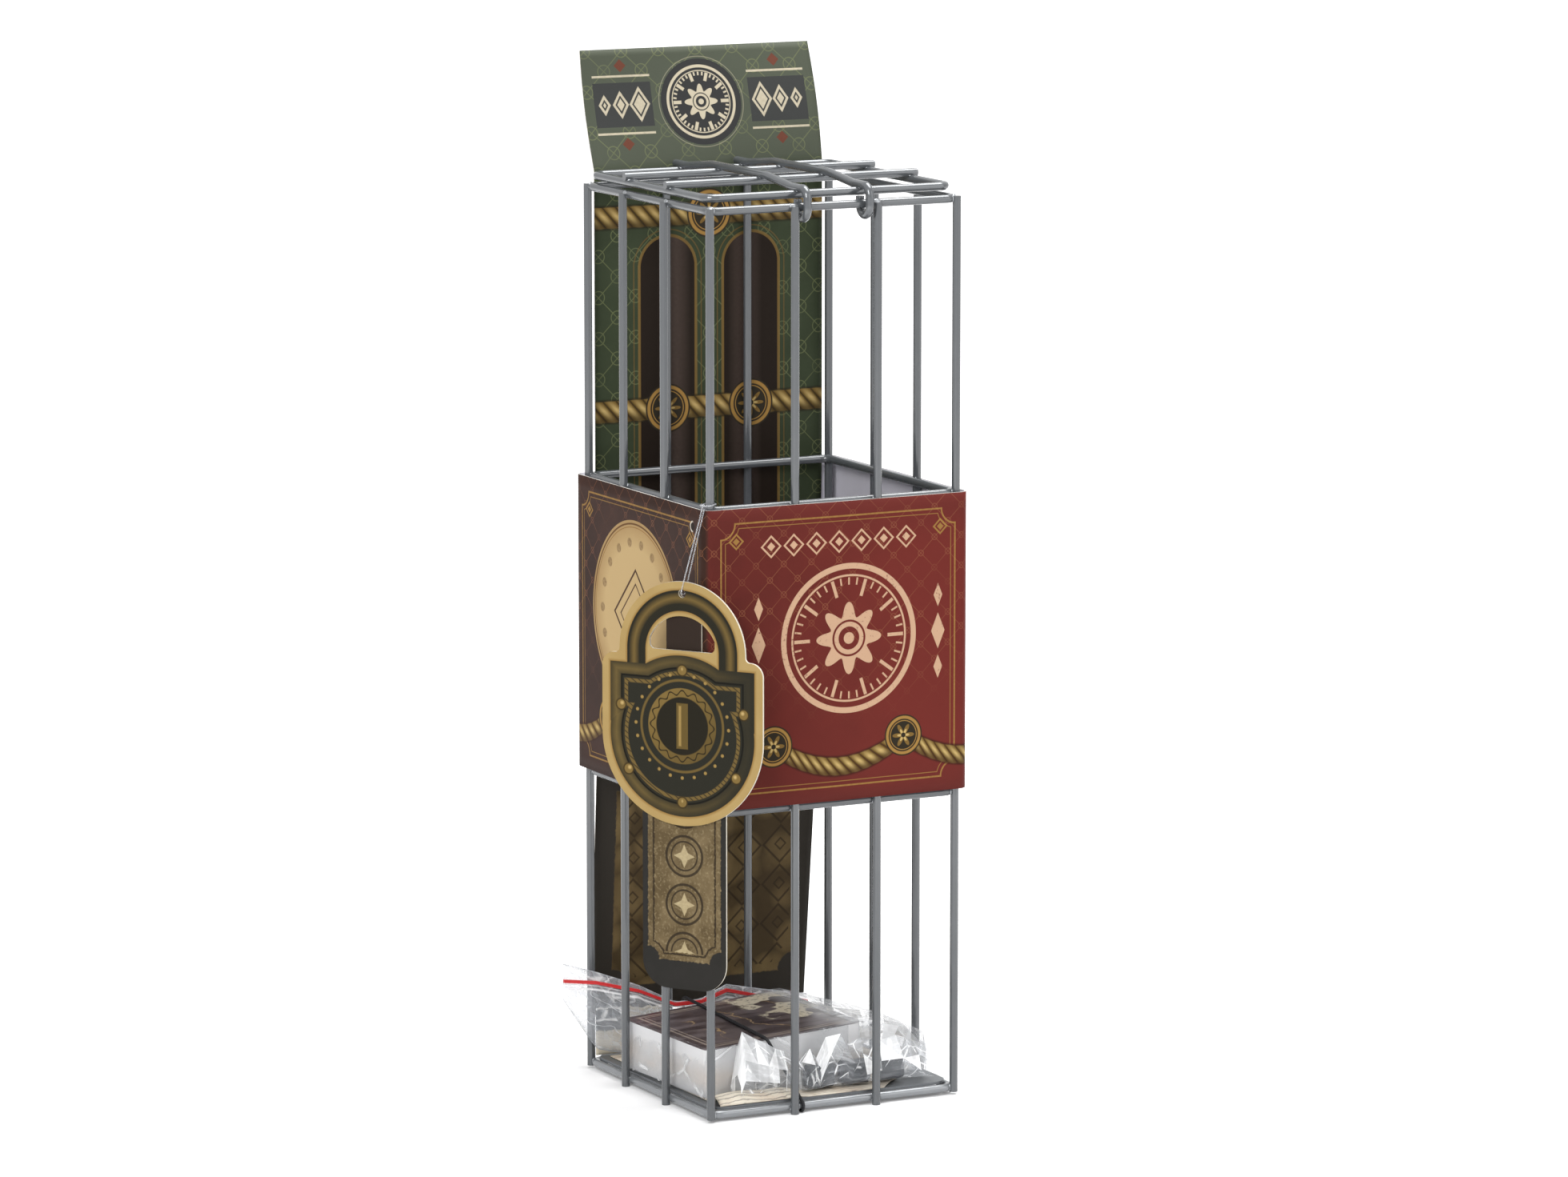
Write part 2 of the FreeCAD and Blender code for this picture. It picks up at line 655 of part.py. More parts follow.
def punched(face, thickness, along, out, z):
    """A card of the given thickness with the string's hole through it."""
    card = face.extrude(outward * thickness)
    start = on_tag(along, out - overrun, z)
    hole = Part.makeCylinder(padlock_hole_radius, thickness + 2 * overrun, start, outward)
    return card.cut(hole)


def padlock_face(out):
    """The padlock's outline: shackle bend, shoulders, straight sides and a round lower end."""
    side = padlock_half_width
    shackle = padlock_shackle_radius
    right_side = [
        on_tag(tag_shift + shackle, out, padlock_shackle_z),
        on_tag(tag_shift + shackle, out, padlock_shoulder_z),
        on_tag(tag_shift + side, out, padlock_shoulder_z),
        on_tag(tag_shift + side, out, padlock_round_z),
    ]
    left_side = [
        on_tag(tag_shift - side, out, padlock_round_z),
        on_tag(tag_shift - side, out, padlock_shoulder_z),
        on_tag(tag_shift - shackle, out, padlock_shoulder_z),
        on_tag(tag_shift - shackle, out, padlock_shackle_z),
    ]
    inner_radius = (side - shackle) / 4
    right_wire = rounded_wire(right_side, [inner_radius, padlock_shoulder_radius])
    left_wire = rounded_wire(left_side, [padlock_shoulder_radius, inner_radius])
    foot = tag_arc(
        (tag_shift + side, padlock_round_z),
        (tag_shift, padlock_round_z - side),
        (tag_shift - side, padlock_round_z),
        out,
    )
    bend = tag_arc(
        (tag_shift - shackle, padlock_shackle_z),
        (tag_shift, padlock_shackle_z + shackle),
        (tag_shift + shackle, padlock_shackle_z),
        out,
    )
    return Part.Face(Part.Wire(right_wire.OrderedEdges + [foot] + left_wire.OrderedEdges + [bend]))


def window_face(out):
    """The shackle's window: flat below, round above, with softened lower corners."""
    half = padlock_window_half
    spring_z = padlock_window_z + padlock_window_corner
    base = rounded_wire(
        [
            on_tag(tag_shift - half, out, spring_z + padlock_window_corner),
            on_tag(tag_shift - half, out, padlock_window_z),
            on_tag(tag_shift + half, out, padlock_window_z),
            on_tag(tag_shift + half, out, spring_z + padlock_window_corner),
        ],
        [padlock_window_corner] * 2,
    )
    top = tag_arc(
        (tag_shift + half, spring_z + padlock_window_corner),
        (tag_shift, padlock_window_z + padlock_window_height),
        (tag_shift - half, spring_z + padlock_window_corner),
        out,
    )
    return Part.Face(Part.Wire(base.OrderedEdges + [top]))


padlock_card = padlock_face(padlock_out)
padlock_tag = punched(padlock_card, padlock_tag_thickness, tag_shift, padlock_out, padlock_hole_z)
window_depth = padlock_tag_thickness + 2 * overrun
window = window_face(padlock_out - overrun).extrude(outward * window_depth)
save("padlock_tag", padlock_tag.cut(window))

# Bottle tag: a straight body with a rounded foot, sloping shoulders and a short neck.
neck_top_z = padlock_hole_z + bottle_top_rise
neck_foot_z = bottle_shoulder_z + bottle_shoulder_rise
bottle_points = [
    (0, bottle_bottom_z),
    (bottle_half_width, bottle_bottom_z),
    (bottle_half_width, bottle_shoulder_z),
    (bottle_neck_half, neck_foot_z),
    (bottle_neck_half, neck_top_z),
    (-bottle_neck_half, neck_top_z),
    (-bottle_neck_half, neck_foot_z),
    (-bottle_half_width, bottle_shoulder_z),
    (-bottle_half_width, bottle_bottom_z),
    (0, bottle_bottom_z),
]
neck_corner = bottle_neck_half / 2
bottle_radii = [
    bottle_corner_radius, bottle_corner_radius, bottle_corner_radius, neck_corner,
    neck_corner, bottle_corner_radius, bottle_corner_radius, bottle_corner_radius,
]
bottle_corners = [on_tag(tag_shift + along, bottle_out, z) for along, z in bottle_points]
bottle_card = Part.Face(rounded_wire(bottle_corners, bottle_radii))
bottle_tag = punched(bottle_card, bottle_tag_thickness, tag_shift, bottle_out, padlock_hole_z)
save("bottle_tag", bottle_tag)

# String. The loop lies round the post and reaches out over the sleeve's top edge; the
# hairpin hangs on its front and goes through both holes.
string_radius = string_diameter / 2
post_along = across.dot(Vector(-post_line, -post_line, 0))
post_out = outward.dot(Vector(-post_line, -post_line, 0))
loop_half = wire_radius + string_stand_off + string_radius
loop_z = ring_upper_z + wire_radius + string_loop_lift
link_out = corner_out + string_reach
loop_points = [
    on_tag(post_along - loop_half, post_out, loop_z),
    on_tag(post_along - loop_half, link_out - loop_half, loop_z),
    on_tag(post_along, link_out, loop_z),
    on_tag(post_along + loop_half, link_out - loop_half, loop_z),
    on_tag(post_along + loop_half, post_out, loop_z),
    on_tag(post_along, post_out - loop_half, loop_z),
]
loop_wire = Part.Wire([
    Part.LineSegment(loop_points[0], loop_points[1]).toShape(),
    Part.Arc(loop_points[1], loop_points[2], loop_points[3]).toShape(),
    Part.LineSegment(loop_points[3], loop_points[4]).toShape(),
    Part.Arc(loop_points[4], loop_points[5], loop_points[0]).toShape(),
])
save("string_loop", cord_along(loop_wire, string_radius))

link_radius = string_diameter + string_gap
front_out = padlock_out + padlock_tag_thickness + string_stand_off + string_radius
back_out = bottle_out - string_stand_off - string_radius
fold_radius = link_radius
hairpin_points = [
    on_tag(post_along, link_out + link_radius, loop_z),
    on_tag(tag_shift, front_out, padlock_hole_z),
    on_tag(tag_shift, back_out, padlock_hole_z),
    on_tag(post_along, link_out - link_radius, loop_z),
]
hairpin = rounded_wire(hairpin_points, [fold_radius] * 2)
link = Part.Arc(
    hairpin_points[-1],
    on_tag(post_along, link_out, loop_z + link_radius),
    hairpin_points[0],
).toShape()
strand = cord_along(hairpin, string_radius)
saddle = cord_along(Part.Wire([link]), string_radius)
knots = [Part.makeSphere(string_radius, hairpin_points[end]) for end in (0, -1)]
save("tag_string", strand.fuse([saddle] + knots))
print("string length", round(hairpin.Length + link.Length, 1), "loop", round(loop_wire.Length, 1))
print("fold radii", [round(value, 2) for value in (link_radius, fold_radius)])
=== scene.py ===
# %% [markdown]
# # A bottle lock box, dressed
# The packed model gives every solid in its place: the welded wire cage, its hinged lid, the
# card band, the standing card, the tags and the small set on the floor. This lesson leaves
# the metal where it is and gives each piece its finish. Paper, film and string are made
# again as thin surfaces, because a flat solid cannot carry a fold or a crease.

# %% Frame and units
import math

import bpy
import numpy as np
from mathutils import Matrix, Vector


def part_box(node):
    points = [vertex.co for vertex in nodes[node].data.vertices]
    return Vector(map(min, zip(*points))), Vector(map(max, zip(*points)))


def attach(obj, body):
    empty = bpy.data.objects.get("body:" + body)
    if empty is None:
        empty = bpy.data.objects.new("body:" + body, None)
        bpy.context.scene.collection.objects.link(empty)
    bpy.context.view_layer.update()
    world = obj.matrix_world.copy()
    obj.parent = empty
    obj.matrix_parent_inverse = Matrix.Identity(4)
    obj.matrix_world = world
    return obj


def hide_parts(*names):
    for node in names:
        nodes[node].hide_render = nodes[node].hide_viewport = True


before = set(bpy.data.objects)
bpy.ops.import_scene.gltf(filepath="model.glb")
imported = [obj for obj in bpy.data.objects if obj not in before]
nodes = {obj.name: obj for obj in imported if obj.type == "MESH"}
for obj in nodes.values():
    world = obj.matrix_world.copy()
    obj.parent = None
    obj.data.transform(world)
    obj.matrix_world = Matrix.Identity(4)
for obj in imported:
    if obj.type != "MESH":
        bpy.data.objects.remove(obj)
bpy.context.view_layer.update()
scene = bpy.context.scene
mm = 0.001


def span(node):
    """Lowest and highest corner of a node, in millimetres."""
    low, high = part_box(node)
    return np.array(low) / mm, np.array(high) / mm


# %% [markdown]
# ## Camera
# The picture was taken with a long lens from a little above the lid, turned to the left
# front corner. A camera could be set by eye. Here the place, the two angles and the lens come
# from lining up the corners of the cage, which are known in the frame, with where they show
# in the picture, so that every piece can be compared with it.

# %% Camera
camera_place = np.array([-1163.5, -2272.4, 594.1])
camera_turn = 27.22
camera_drop = 9.163
camera_lens = 164.13

camera_data = bpy.data.cameras.new("camera")
camera_data.sensor_width = 36.0
camera_data.lens = camera_lens
camera_data.clip_end = 20.0
camera = bpy.data.objects.new("camera", camera_data)
camera.location = camera_place * mm
camera.rotation_euler = (math.radians(90 - camera_drop), 0, math.radians(-camera_turn))
scene.collection.objects.link(camera)
bpy.context.scene.camera = camera
camera_away = float(np.linalg.norm(camera_place)) * mm
print("camera", round(camera_away, 2), "m away, lens", camera_lens, "mm")

# %% [markdown]
# ## Studio
# A white table under soft lamps. The lamps are set so that a colour comes out about as it is
# written. More lamps would turn the background white, but they would bleach the object too.
# So the table and the world show as white to the lens and in reflections alone, while the
# table still takes the shadow of the cage. A ray tells where it comes from, so a few shader
# nodes can do this, and a helper makes a node with all that it is fed.


# %% Shader nodes
def add_node(tree, kind, feeds=(), **settings):
    """A shader node with its settings. A feed names an input, and gives it a value or the
    output of another node."""
    node = tree.nodes.new("ShaderNode" + kind)
    for name, value in settings.items():
        setattr(node, name, value)
    for name, value in dict(feeds).items():
        if isinstance(value, bpy.types.NodeSocket):
            tree.links.new(value, node.inputs[name])
        else:
            node.inputs[name].default_value = value
    return node


def seen_directly(tree):
    """1 for rays that come from the lens, a reflection or clear film, and 0 for the rest."""
    path = add_node(tree, "LightPath")
    total = path.outputs["Is Camera Ray"]
    for name in ("Is Glossy Ray", "Is Transmission Ray"):
        feeds = {0: total, 1: path.outputs[name]}
        total = add_node(tree, "Math", feeds, operation="ADD", use_clamp=True).outputs[0]
    return total


scene.view_settings.view_transform = "Standard"
white = (1.0, 1.0, 1.0, 1.0)
world_strength = 0.24
scene.world = bpy.data.worlds.new("studio_white")
scene.world.use_nodes = True
world_tree = scene.world.node_tree
world_light = world_tree.nodes["Background"]
world_light.inputs["Color"].default_value = white
world_light.inputs["Strength"].default_value = world_strength
world_view = add_node(world_tree, "Background", {"Color": white, "Strength": 1.0})
feeds = {"Fac": seen_directly(world_tree), 1: world_light.outputs[0], 2: world_view.outputs[0]}
world_mix = add_node(world_tree, "MixShader", feeds)
world_tree.links.new(world_mix.outputs[0], world_tree.nodes["World Output"].inputs["Surface"])
print("world gives", world_strength, "of the light that it shows")

# %% Lamps
lamp_aim = (0.0, 0.0, 0.18)


def soft_lamp(name, place, width, height, power):
    """A rectangular lamp at a place in metres, turned to the middle of the cage: tilted by the
    angle between the way there and straight down, then turned about the upright."""
    data = bpy.data.lights.new(name, "AREA")
    data.shape = "RECTANGLE"
    data.size = width
    data.size_y = height
    data.energy = power
    lamp = bpy.data.objects.new(name, data)
    lamp.location = place
    way = np.array(lamp_aim) - np.array(place)
    tilt = math.atan2(math.hypot(way[0], way[1]), -way[2])
    lamp.rotation_euler = (tilt, 0, -math.atan2(way[0], way[1]))
    scene.collection.objects.link(lamp)


soft_lamp("key_lamp", (-1.3, -1.0, 1.15), 0.9, 0.9, 24.5)
soft_lamp("fill_lamp", (1.0, -1.25, 0.75), 0.9, 1.2, 5.0)
soft_lamp("top_lamp", (0.35, 0.05, 1.5), 1.0, 1.0, 27.5)
print("lamps", [(lamp.name, round(lamp.energy, 1)) for lamp in bpy.data.lights])

# %% Table
table_half = 6.0
table_glow = 0.16
table_near = 0.22
table_far = 0.75
table_mesh = bpy.data.meshes.new("table")
table_corners = np.array([(-1, -1, 0), (1, -1, 0), (1, 1, 0), (-1, 1, 0)]) * table_half
table_mesh.from_pydata(table_corners.tolist(), [], [(0, 1, 2, 3)])
table = bpy.data.objects.new("table", table_mesh)
scene.collection.objects.link(table)
table_look = bpy.data.materials.new("table_white")
table_look.use_nodes = True
table_tree = table_look.node_tree
table_shader = table_tree.nodes["Principled BSDF"]
table_shader.inputs["Base Color"].default_value = (0.88, 0.88, 0.885, 1.0)
table_shader.inputs["Roughness"].default_value = 0.6
table_shader.inputs["Emission Color"].default_value = white
place = add_node(table_tree, "TexCoord").outputs["Object"]
away = add_node(table_tree, "VectorMath", {0: place}, operation="LENGTH").outputs["Value"]
feeds = {"Value": away, "From Min": table_near, "From Max": table_far}
feeds |= {"To Min": table_glow, "To Max": 1.0}
fade = add_node(table_tree, "MapRange", feeds, interpolation_type="SMOOTHSTEP")
feeds = {0: seen_directly(table_tree), 1: fade.outputs[0]}
glow = add_node(table_tree, "Math", feeds, operation="MULTIPLY")
table_tree.links.new(glow.outputs[0], table_shader.inputs["Emission Strength"])
table_mesh.materials.append(table_look)
print("table shows shadows out to", table_far, "m")

# %% [markdown]
# ## Formulas as shader nodes
# A print is ink on paper, and each ink area is a shape: a disc, a bar, a border. A print
# could be an image, which is only as sharp as its pixels. Here each shape is written as a
# distance in millimetres, positive inside its edge, so that inks are crisp at any size. The
# small class below turns a formula into Math nodes.


# %% A number that varies over a surface
class Field:
    """The output of a shader node, with the signs of arithmetic: each adds one Math node."""

    def __init__(self, tree, socket):
        self.tree = tree
        self.socket = socket

    def step(self, operation, *others, clamp=False):
        """One Math node, fed by this field and by other fields or numbers."""
        values = [value.socket if isinstance(value, Field) else value for value in (self, *others)]
        node = add_node(self.tree, "Math", enumerate(values), operation=operation, use_clamp=clamp)
        return Field(self.tree, node.outputs[0])

    def __add__(self, other):
        return self.step("ADD", other)

    def __sub__(self, other):
        return self.step("SUBTRACT", other)

    def __mul__(self, other):
        return self.step("MULTIPLY", other)

    def __truediv__(self, other):
        return self.step("DIVIDE", other)

    def __neg__(self):
        return self.step("MULTIPLY", -1.0)

    def __abs__(self):
        return self.step("ABSOLUTE")

    def at_most(self, other):
        """The smaller of two: inside both of two shapes."""
        return self.step("MINIMUM", other)

    def at_least(self, other):
        """The larger of two: inside one of two shapes."""
        return self.step("MAXIMUM", other)

    both = at_most
    either = at_least

    def without(self, other):
        """Inside this shape and outside the other."""
        return self.both(-other)

    def line(self, half):
        """A line of the given half width along this shape's edge, where the field is zero."""
        return -abs(self) + half

    def repeat(self, pitch):
        """The same stretch again and again, from minus half a pitch to half a pitch."""
        return self.step("WRAP", pitch / 2, -pitch / 2)

    def ink(self, soft):
        """How much ink lies here, from 0 to 1, with an edge of the given softness."""
        return self.step("MULTIPLY_ADD", 1 / soft, 0.5, clamp=True)


print("a field can", [name for name in vars(Field) if not name.startswith("_")])


# %% Shapes
def length_of(a, b):
    """The distance from the origin of two numbers, by Pythagoras."""
    return (a * a + b * b).step("SQRT")


def polar(u, v, at_u, at_v):
    """Distance from a centre, by Pythagoras, and the angle about it."""
    across, upward = u - at_u, v - at_v
    return length_of(across, upward), upward.step("ARCTAN2", across)


def disc(u, v, at_u, at_v, radius):
    """Radius less the distance from the centre."""
    return -length_of(u - at_u, v - at_v) + radius


def bar(u, v, at_u, at_v, half_u, half_v):
    """The nearer of the two pairs of sides."""
    return (u - at_u).line(half_u).both((v - at_v).line(half_v))


def diamond(u, v, at_u, at_v, half_u, half_v):
    """One less both offsets as shares of the half sizes, scaled back to millimetres."""
    share = abs(u - at_u) / half_u + abs(v - at_v) / half_v
    return (-share + 1.0) * (half_u * half_v / math.hypot(half_u, half_v))


def notched(u, v, at_u, at_v, half_u, half_v, notch):
    """A bar less a quarter disc at each corner."""
    across = (u - at_u).line(half_u)
    upward = (v - at_v).line(half_v)
    return across.both(upward).both(length_of(across, upward) - notch)


def lattice(u, v, pitch, half, hoop, hoop_half):
    """Two sets of slanting lines, with a hoop round each crossing."""
    rising = (u + v).repeat(pitch)
    falling = (u - v).repeat(pitch)
    hoops = disc(rising, falling, 0.0, 0.0, hoop).line(hoop_half)
    return rising.line(half).either(falling.line(half)).either(hoops)


def pips_round(away, angle, count, ring, radius):
    """Discs at even angles on a ring: one disc, in the repeated angle times the ring's radius."""
    return disc(angle.repeat(2 * math.pi / count) * ring, away, 0.0, ring, radius)


print("shapes", [shape.__name__ for shape in (disc, bar, diamond, notched, lattice, pips_round)])

# %% [markdown]
# ## Finishes
# A finish is a Principled shader with a base colour and a few inks or stains laid over it.
# Colours are written as they look on a screen and turned into light by the usual curve. A
# finish is laid out on the frame's coordinates, or on sheet coordinates that a piece carries
# where its print has to follow a fold.


# %% Screen colour to light
def light(colour):
    """A screen colour from 0 to 255 as linear light, with full cover."""
    share = np.array(colour) / 255.0
    linear = np.where(share <= 0.04045, share / 12.92, ((share + 0.055) / 1.055) ** 2.4)
    return (*linear.tolist(), 1.0)


print("mid grey 128 is", round(light((128, 128, 128))[0], 3), "of white light")


# %% A finish
class Finish:
    """A material being painted: a base colour, then inks over it, one after the other."""

    def __init__(self, name, colour, roughness, metallic=0.0, gloss=0.5, sheet=False):
        self.material = bpy.data.materials.new(name)
        self.material.use_nodes = True
        self.tree = self.material.node_tree
        self.shader = self.tree.nodes["Principled BSDF"]
        self.colour = light(colour)
        self.shader.inputs["Base Color"].default_value = self.colour
        self.shader.inputs["Roughness"].default_value = roughness
        self.shader.inputs["Metallic"].default_value = metallic
        self.shader.inputs["Specular IOR Level"].default_value = gloss
        if sheet:
            own = add_node(self.tree, "Attribute", attribute_name="sheet_mm")
            self.place = own.outputs["Vector"]
        else:
            feeds = {0: add_node(self.tree, "TexCoord").outputs["Object"], "Scale": 1 / mm}
            self.place = add_node(self.tree, "VectorMath", feeds, operation="SCALE").outputs[0]

    def places(self):
        """The three coordinates in millimetres, of the frame or of the piece's own sheet."""
        parts = add_node(self.tree, "SeparateXYZ", {0: self.place})
        return [Field(self.tree, out) for out in parts.outputs]

    def noise(self, per_mm, detail=3.0, stretch=(1.0, 1.0, 1.0)):
        """Cloudy noise from 0 to 1, in bumps of about one over per_mm millimetres."""
        mapped = add_node(self.tree, "Mapping", {"Vector": self.place, "Scale": stretch})
        feeds = {"Vector": mapped.outputs[0], "Scale": per_mm, "Detail": detail}
        return Field(self.tree, add_node(self.tree, "TexNoise", feeds).outputs["Fac"])

    def cells(self, per_mm, feature="F1"):
        """Distance to the middle of the nearest cell of a Voronoi net, or to its edge."""
        feeds = {"Vector": self.place, "Scale": per_mm}
        net = add_node(self.tree, "TexVoronoi", feeds, feature=feature)
        return Field(self.tree, net.outputs["Distance"])

    def paint(self, colour, amount):
        """Lay a colour over what is there, as much as amount says."""
        feeds = {0: amount.socket, 6: self.colour, 7: light(colour)}
        self.colour = add_node(self.tree, "Mix", feeds, data_type="RGBA").outputs[2]
        self.tree.links.new(self.colour, self.shader.inputs["Base Color"])

    def drive(self, name, field):
        """Let a field set one of the shader's inputs."""
        self.tree.links.new(field.socket, self.shader.inputs[name])

    def bump(self, field, strength, depth):
        """Raise the surface by a field, depth millimetres at most."""
        feeds = {"Height": field.socket, "Strength": strength, "Distance": depth * mm}
        self.drive("Normal", Field(self.tree, add_node(self.tree, "Bump", feeds).outputs[0]))


print("a finish can", [name for name in vars(Finish) if not name.startswith("_")])


# %% Finish helpers
def mottled(name, colour, shade, per_mm, share, roughness, detail=3.0, **looks):
    """A finish of two tones: the second lies over the first in clouds, share at the most."""
    finish = Finish(name, colour, roughness, **looks)
    finish.paint(shade, finish.noise(per_mm, detail) * share)
    return finish


def dress(finish, *names):
    """Give CAD nodes a finish."""
    for name in names:
        mesh = nodes[name].data
        mesh.materials.clear()
        mesh.materials.append(finish.material)


print("pieces to dress", len(nodes))

# %% [markdown]
# ## Wire
# The cage is drawn steel wire, welded bare and then coated in a glossy silver-grey lacquer.
# It is nearer to paint than to metal: each wire is dark with one sharp light along it. A
# single grey would look like plastic, so one noise varies both the grey and the gloss. The lid
# and the bottom ring have a little more metal in their shader, and their grey is painted
# lighter as painted light: much lighter on the bottom ring, which the white floor lights, and
# a little lighter on the lid.


# %% Wire lacquer
def lacquer(name, colour, shade, metallic):
    """Grey lacquer over wire: a second grey over the first in clouds, rougher in the clouds."""
    finish = Finish(name, colour, 0.25, metallic=metallic, gloss=0.85)
    cloud = finish.noise(0.12, detail=2.0)
    finish.paint(shade, cloud * 0.8)
    finish.drive("Roughness", cloud * 0.07 + 0.11)
    return finish


wire = lacquer("silver_lacquer", (88, 91, 94), (77, 80, 83), 0.1)
# The bottom ring's lacquer is a much lighter grey: painted light from the white floor.
ring_wire_painted_light = lacquer("ring_lacquer_painted_light", (134, 137, 140), (122, 125, 128), 0.25)
# The lid's lacquer is a little lighter grey than the cage's: painted light on the lid.
lid_wire = lacquer("thin_lacquer", (95, 98, 101), (83, 86, 89), 0.25)
wire_names = [name for name in nodes if name.startswith(("post_", "bar_", "ring_"))]
lid_names = [name for name in nodes if name.startswith("lid_")]
dress(wire, *wire_names)
dress(ring_wire_painted_light, "ring_bottom")
dress(lid_wire, *lid_names)

plate = mottled(
    "floor_lacquer", (112, 115, 118), (88, 91, 94), 0.12, 0.5, 0.4, metallic=0.4, gloss=0.3
)
plate.bump(plate.noise(1.5), 0.2, 0.05)
dress(plate, "floor_plate")
print("wire nodes", len(wire_names), "in the cage and", len(lid_names), "in the lid")

# %% [markdown]
# ## Surfaces from arrays
# Sheets could be modelled by hand. Here every new piece is a grid of points worked out as one
# array, because a formula can be measured, and made again with other sizes. The helpers join
# neighbours in the grid by four-sided faces and make the mesh, with the sheet coordinates
# beside it.


# %% Grid helpers
def grid_faces(rows, columns, wrap_rows=False, wrap_columns=False):
    """Four-sided faces of a grid: each point with the next along both ways. A wrapped way
    joins its last line to its first."""
    row = np.arange(rows if wrap_rows else rows - 1)
    column = np.arange(columns if wrap_columns else columns - 1)
    row, column = np.meshgrid(row, column, indexing="ij")
    next_row = (row + 1) % rows
    next_column = (column + 1) % columns
    corners = [
        row * columns + column,
        next_row * columns + column,
        next_row * columns + next_column,
        row * columns + next_column,
    ]
    return np.stack(corners, -1).reshape(-1, 4)


def points_of(x, y, z):
    """Three coordinates, each spread over the whole grid, side by side as points."""
    return np.stack(np.broadcast_arrays(x, y, z), -1)


def unit(ways):
    """Each way divided by its length."""
    return ways / np.linalg.norm(ways, axis=-1, keepdims=True)


print("a grid of 3 by 4 points has", len(grid_faces(3, 4)), "faces")


# %% Pieces
def make_piece(name, points, faces, finishes, body, sheet=None, smooth=True):
    """A mesh piece from points in millimetres, riding on a body of the frame."""
    flat = np.asarray(points, float).reshape(-1, 3)
    mesh = bpy.data.meshes.new(name)
    mesh.from_pydata((flat * mm).tolist(), [], faces.tolist())
    for finish in finishes:
        mesh.materials.append(finish.material)
    if sheet is not None:
        store = mesh.attributes.new("sheet_mm", "FLOAT_VECTOR", "POINT")
        store.data.foreach_set("vector", np.asarray(sheet, np.float32).reshape(-1))
    mesh.polygons.foreach_set("use_smooth", np.full(len(mesh.polygons), smooth))
    mesh.update()
    piece = bpy.data.objects.new(name, mesh)
    scene.collection.objects.link(piece)
    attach(piece, body)
    return piece


def give_thickness(piece, thickness, back=0, rim=0):
    """A sheet becomes a card: the wall grows inward from its printed face."""
    solid = piece.modifiers.new("thickness", "SOLIDIFY")
    solid.thickness = thickness * mm
    solid.offset = -1.0
    solid.use_even_offset = True
    solid.material_offset = back
    solid.material_offset_rim = rim


# %% [markdown]
# ## Welds
# Where two wires cross, the current melts them together and squeezes out a small bright
# collar. Each one is a flattened ball, laid in the gap between the two wires. All of them
# come from one formula in one array, with few faces each, because there are sixty.

# %% Weld collars: shape
weld = mottled("weld_metal", (168, 171, 174), (120, 122, 124), 1.2, 0.5, 0.3, metallic=0.8)
weld.bump(weld.noise(2.0), 0.4, 0.12)
collar_reach = 1.75
collar_half_height = 0.62
collar_around = 10
collar_across = 7


def collars(places, normals):
    """Flattened balls: a circle of latitude for each ring, squeezed along its normal, with a
    seeded wobble so that no two are alike."""
    longitude = np.linspace(0, 2 * np.pi, collar_around, endpoint=False)
    latitude = np.linspace(-np.pi / 2, np.pi / 2, collar_across)[None, :, None]
    places = np.asarray(places, float)[:, None, None, :]
    normals = np.asarray(normals, float)
    wobble = np.random.default_rng(4).uniform(0.82, 1.15, (len(places), 1, collar_around))
    helper = np.where(abs(normals[:, 2:3]) > 0.9, [[1.0, 0, 0]], [[0, 0, 1.0]])
    side = unit(np.cross(normals, helper))
    other = np.cross(normals, side)
    ring = np.cos(latitude) * collar_reach * wobble
    along = (np.cos(longitude) * ring)[..., None] * side[:, None, None, :]
    over = (np.sin(longitude) * ring)[..., None] * other[:, None, None, :]
    height = (np.sin(latitude) * collar_half_height)[..., None] * normals[:, None, None, :]
    one = grid_faces(collar_across, collar_around, wrap_columns=True)
    shift = np.arange(len(places))[:, None, None] * (collar_around * collar_across)
    return places + along + over + height, (one[None] + shift).reshape(-1, 4)


print("a collar has", len(grid_faces(collar_across, collar_around, wrap_columns=True)), "faces")

# %% Weld collars: places
wire_radius = 1.5
wire_pitch = 2.2
weld_seat = wire_pitch / 2
side_line = 40.0
ring_names = ["ring_bottom", "ring_lower", "ring_upper", "ring_top"]
ring_heights = [span(name)[0][2] + wire_radius for name in ring_names]
upright_names = [name for name in nodes if name.startswith(("post_", "bar_"))]
upright_middles = np.array([sum(span(name)) / 2 for name in upright_names])[:, :2]
outward = unit(np.where(abs(upright_middles) > side_line, np.sign(upright_middles), 0.0))
seats = np.tile(upright_middles - outward * weld_seat, (len(ring_heights), 1))
weld_places = np.column_stack([seats, np.repeat(ring_heights, len(outward))])
weld_normals = np.column_stack([np.tile(outward, (len(ring_heights), 1)), np.zeros(len(seats))])
weld_points, weld_faces = collars(weld_places, weld_normals)
make_piece("cage_welds", weld_points, weld_faces, [weld], "cage")

frame_low, frame_high = span("lid_frame")
lid_level = (frame_low[2] + frame_high[2]) / 2 + weld_seat
lid_sides = (frame_low[0] + wire_radius, frame_high[0] - wire_radius)
lid_ends = (frame_low[1] + wire_radius, frame_high[1] - wire_radius)
cross_lines = [sum(span("lid_cross_wire_" + end))[1] / 2 for end in ("front", "back")]
hinge_lines = [sum(span("lid_hinge_wire_" + side))[0] / 2 for side in ("left", "right")]
lid_places = [(x, y, lid_level) for x in lid_sides for y in cross_lines]
lid_places += [(x, y, lid_level) for x in hinge_lines for y in lid_ends]
lid_places += [(x, y, lid_level + wire_pitch) for x in hinge_lines for y in cross_lines]
lid_points, lid_faces = collars(lid_places, [(0.0, 0.0, 1.0)] * len(lid_places))
make_piece("lid_welds", lid_points, lid_faces, [weld], "lid")
print("weld collars", len(weld_points), "on the cage and", len(lid_points), "on the lid")

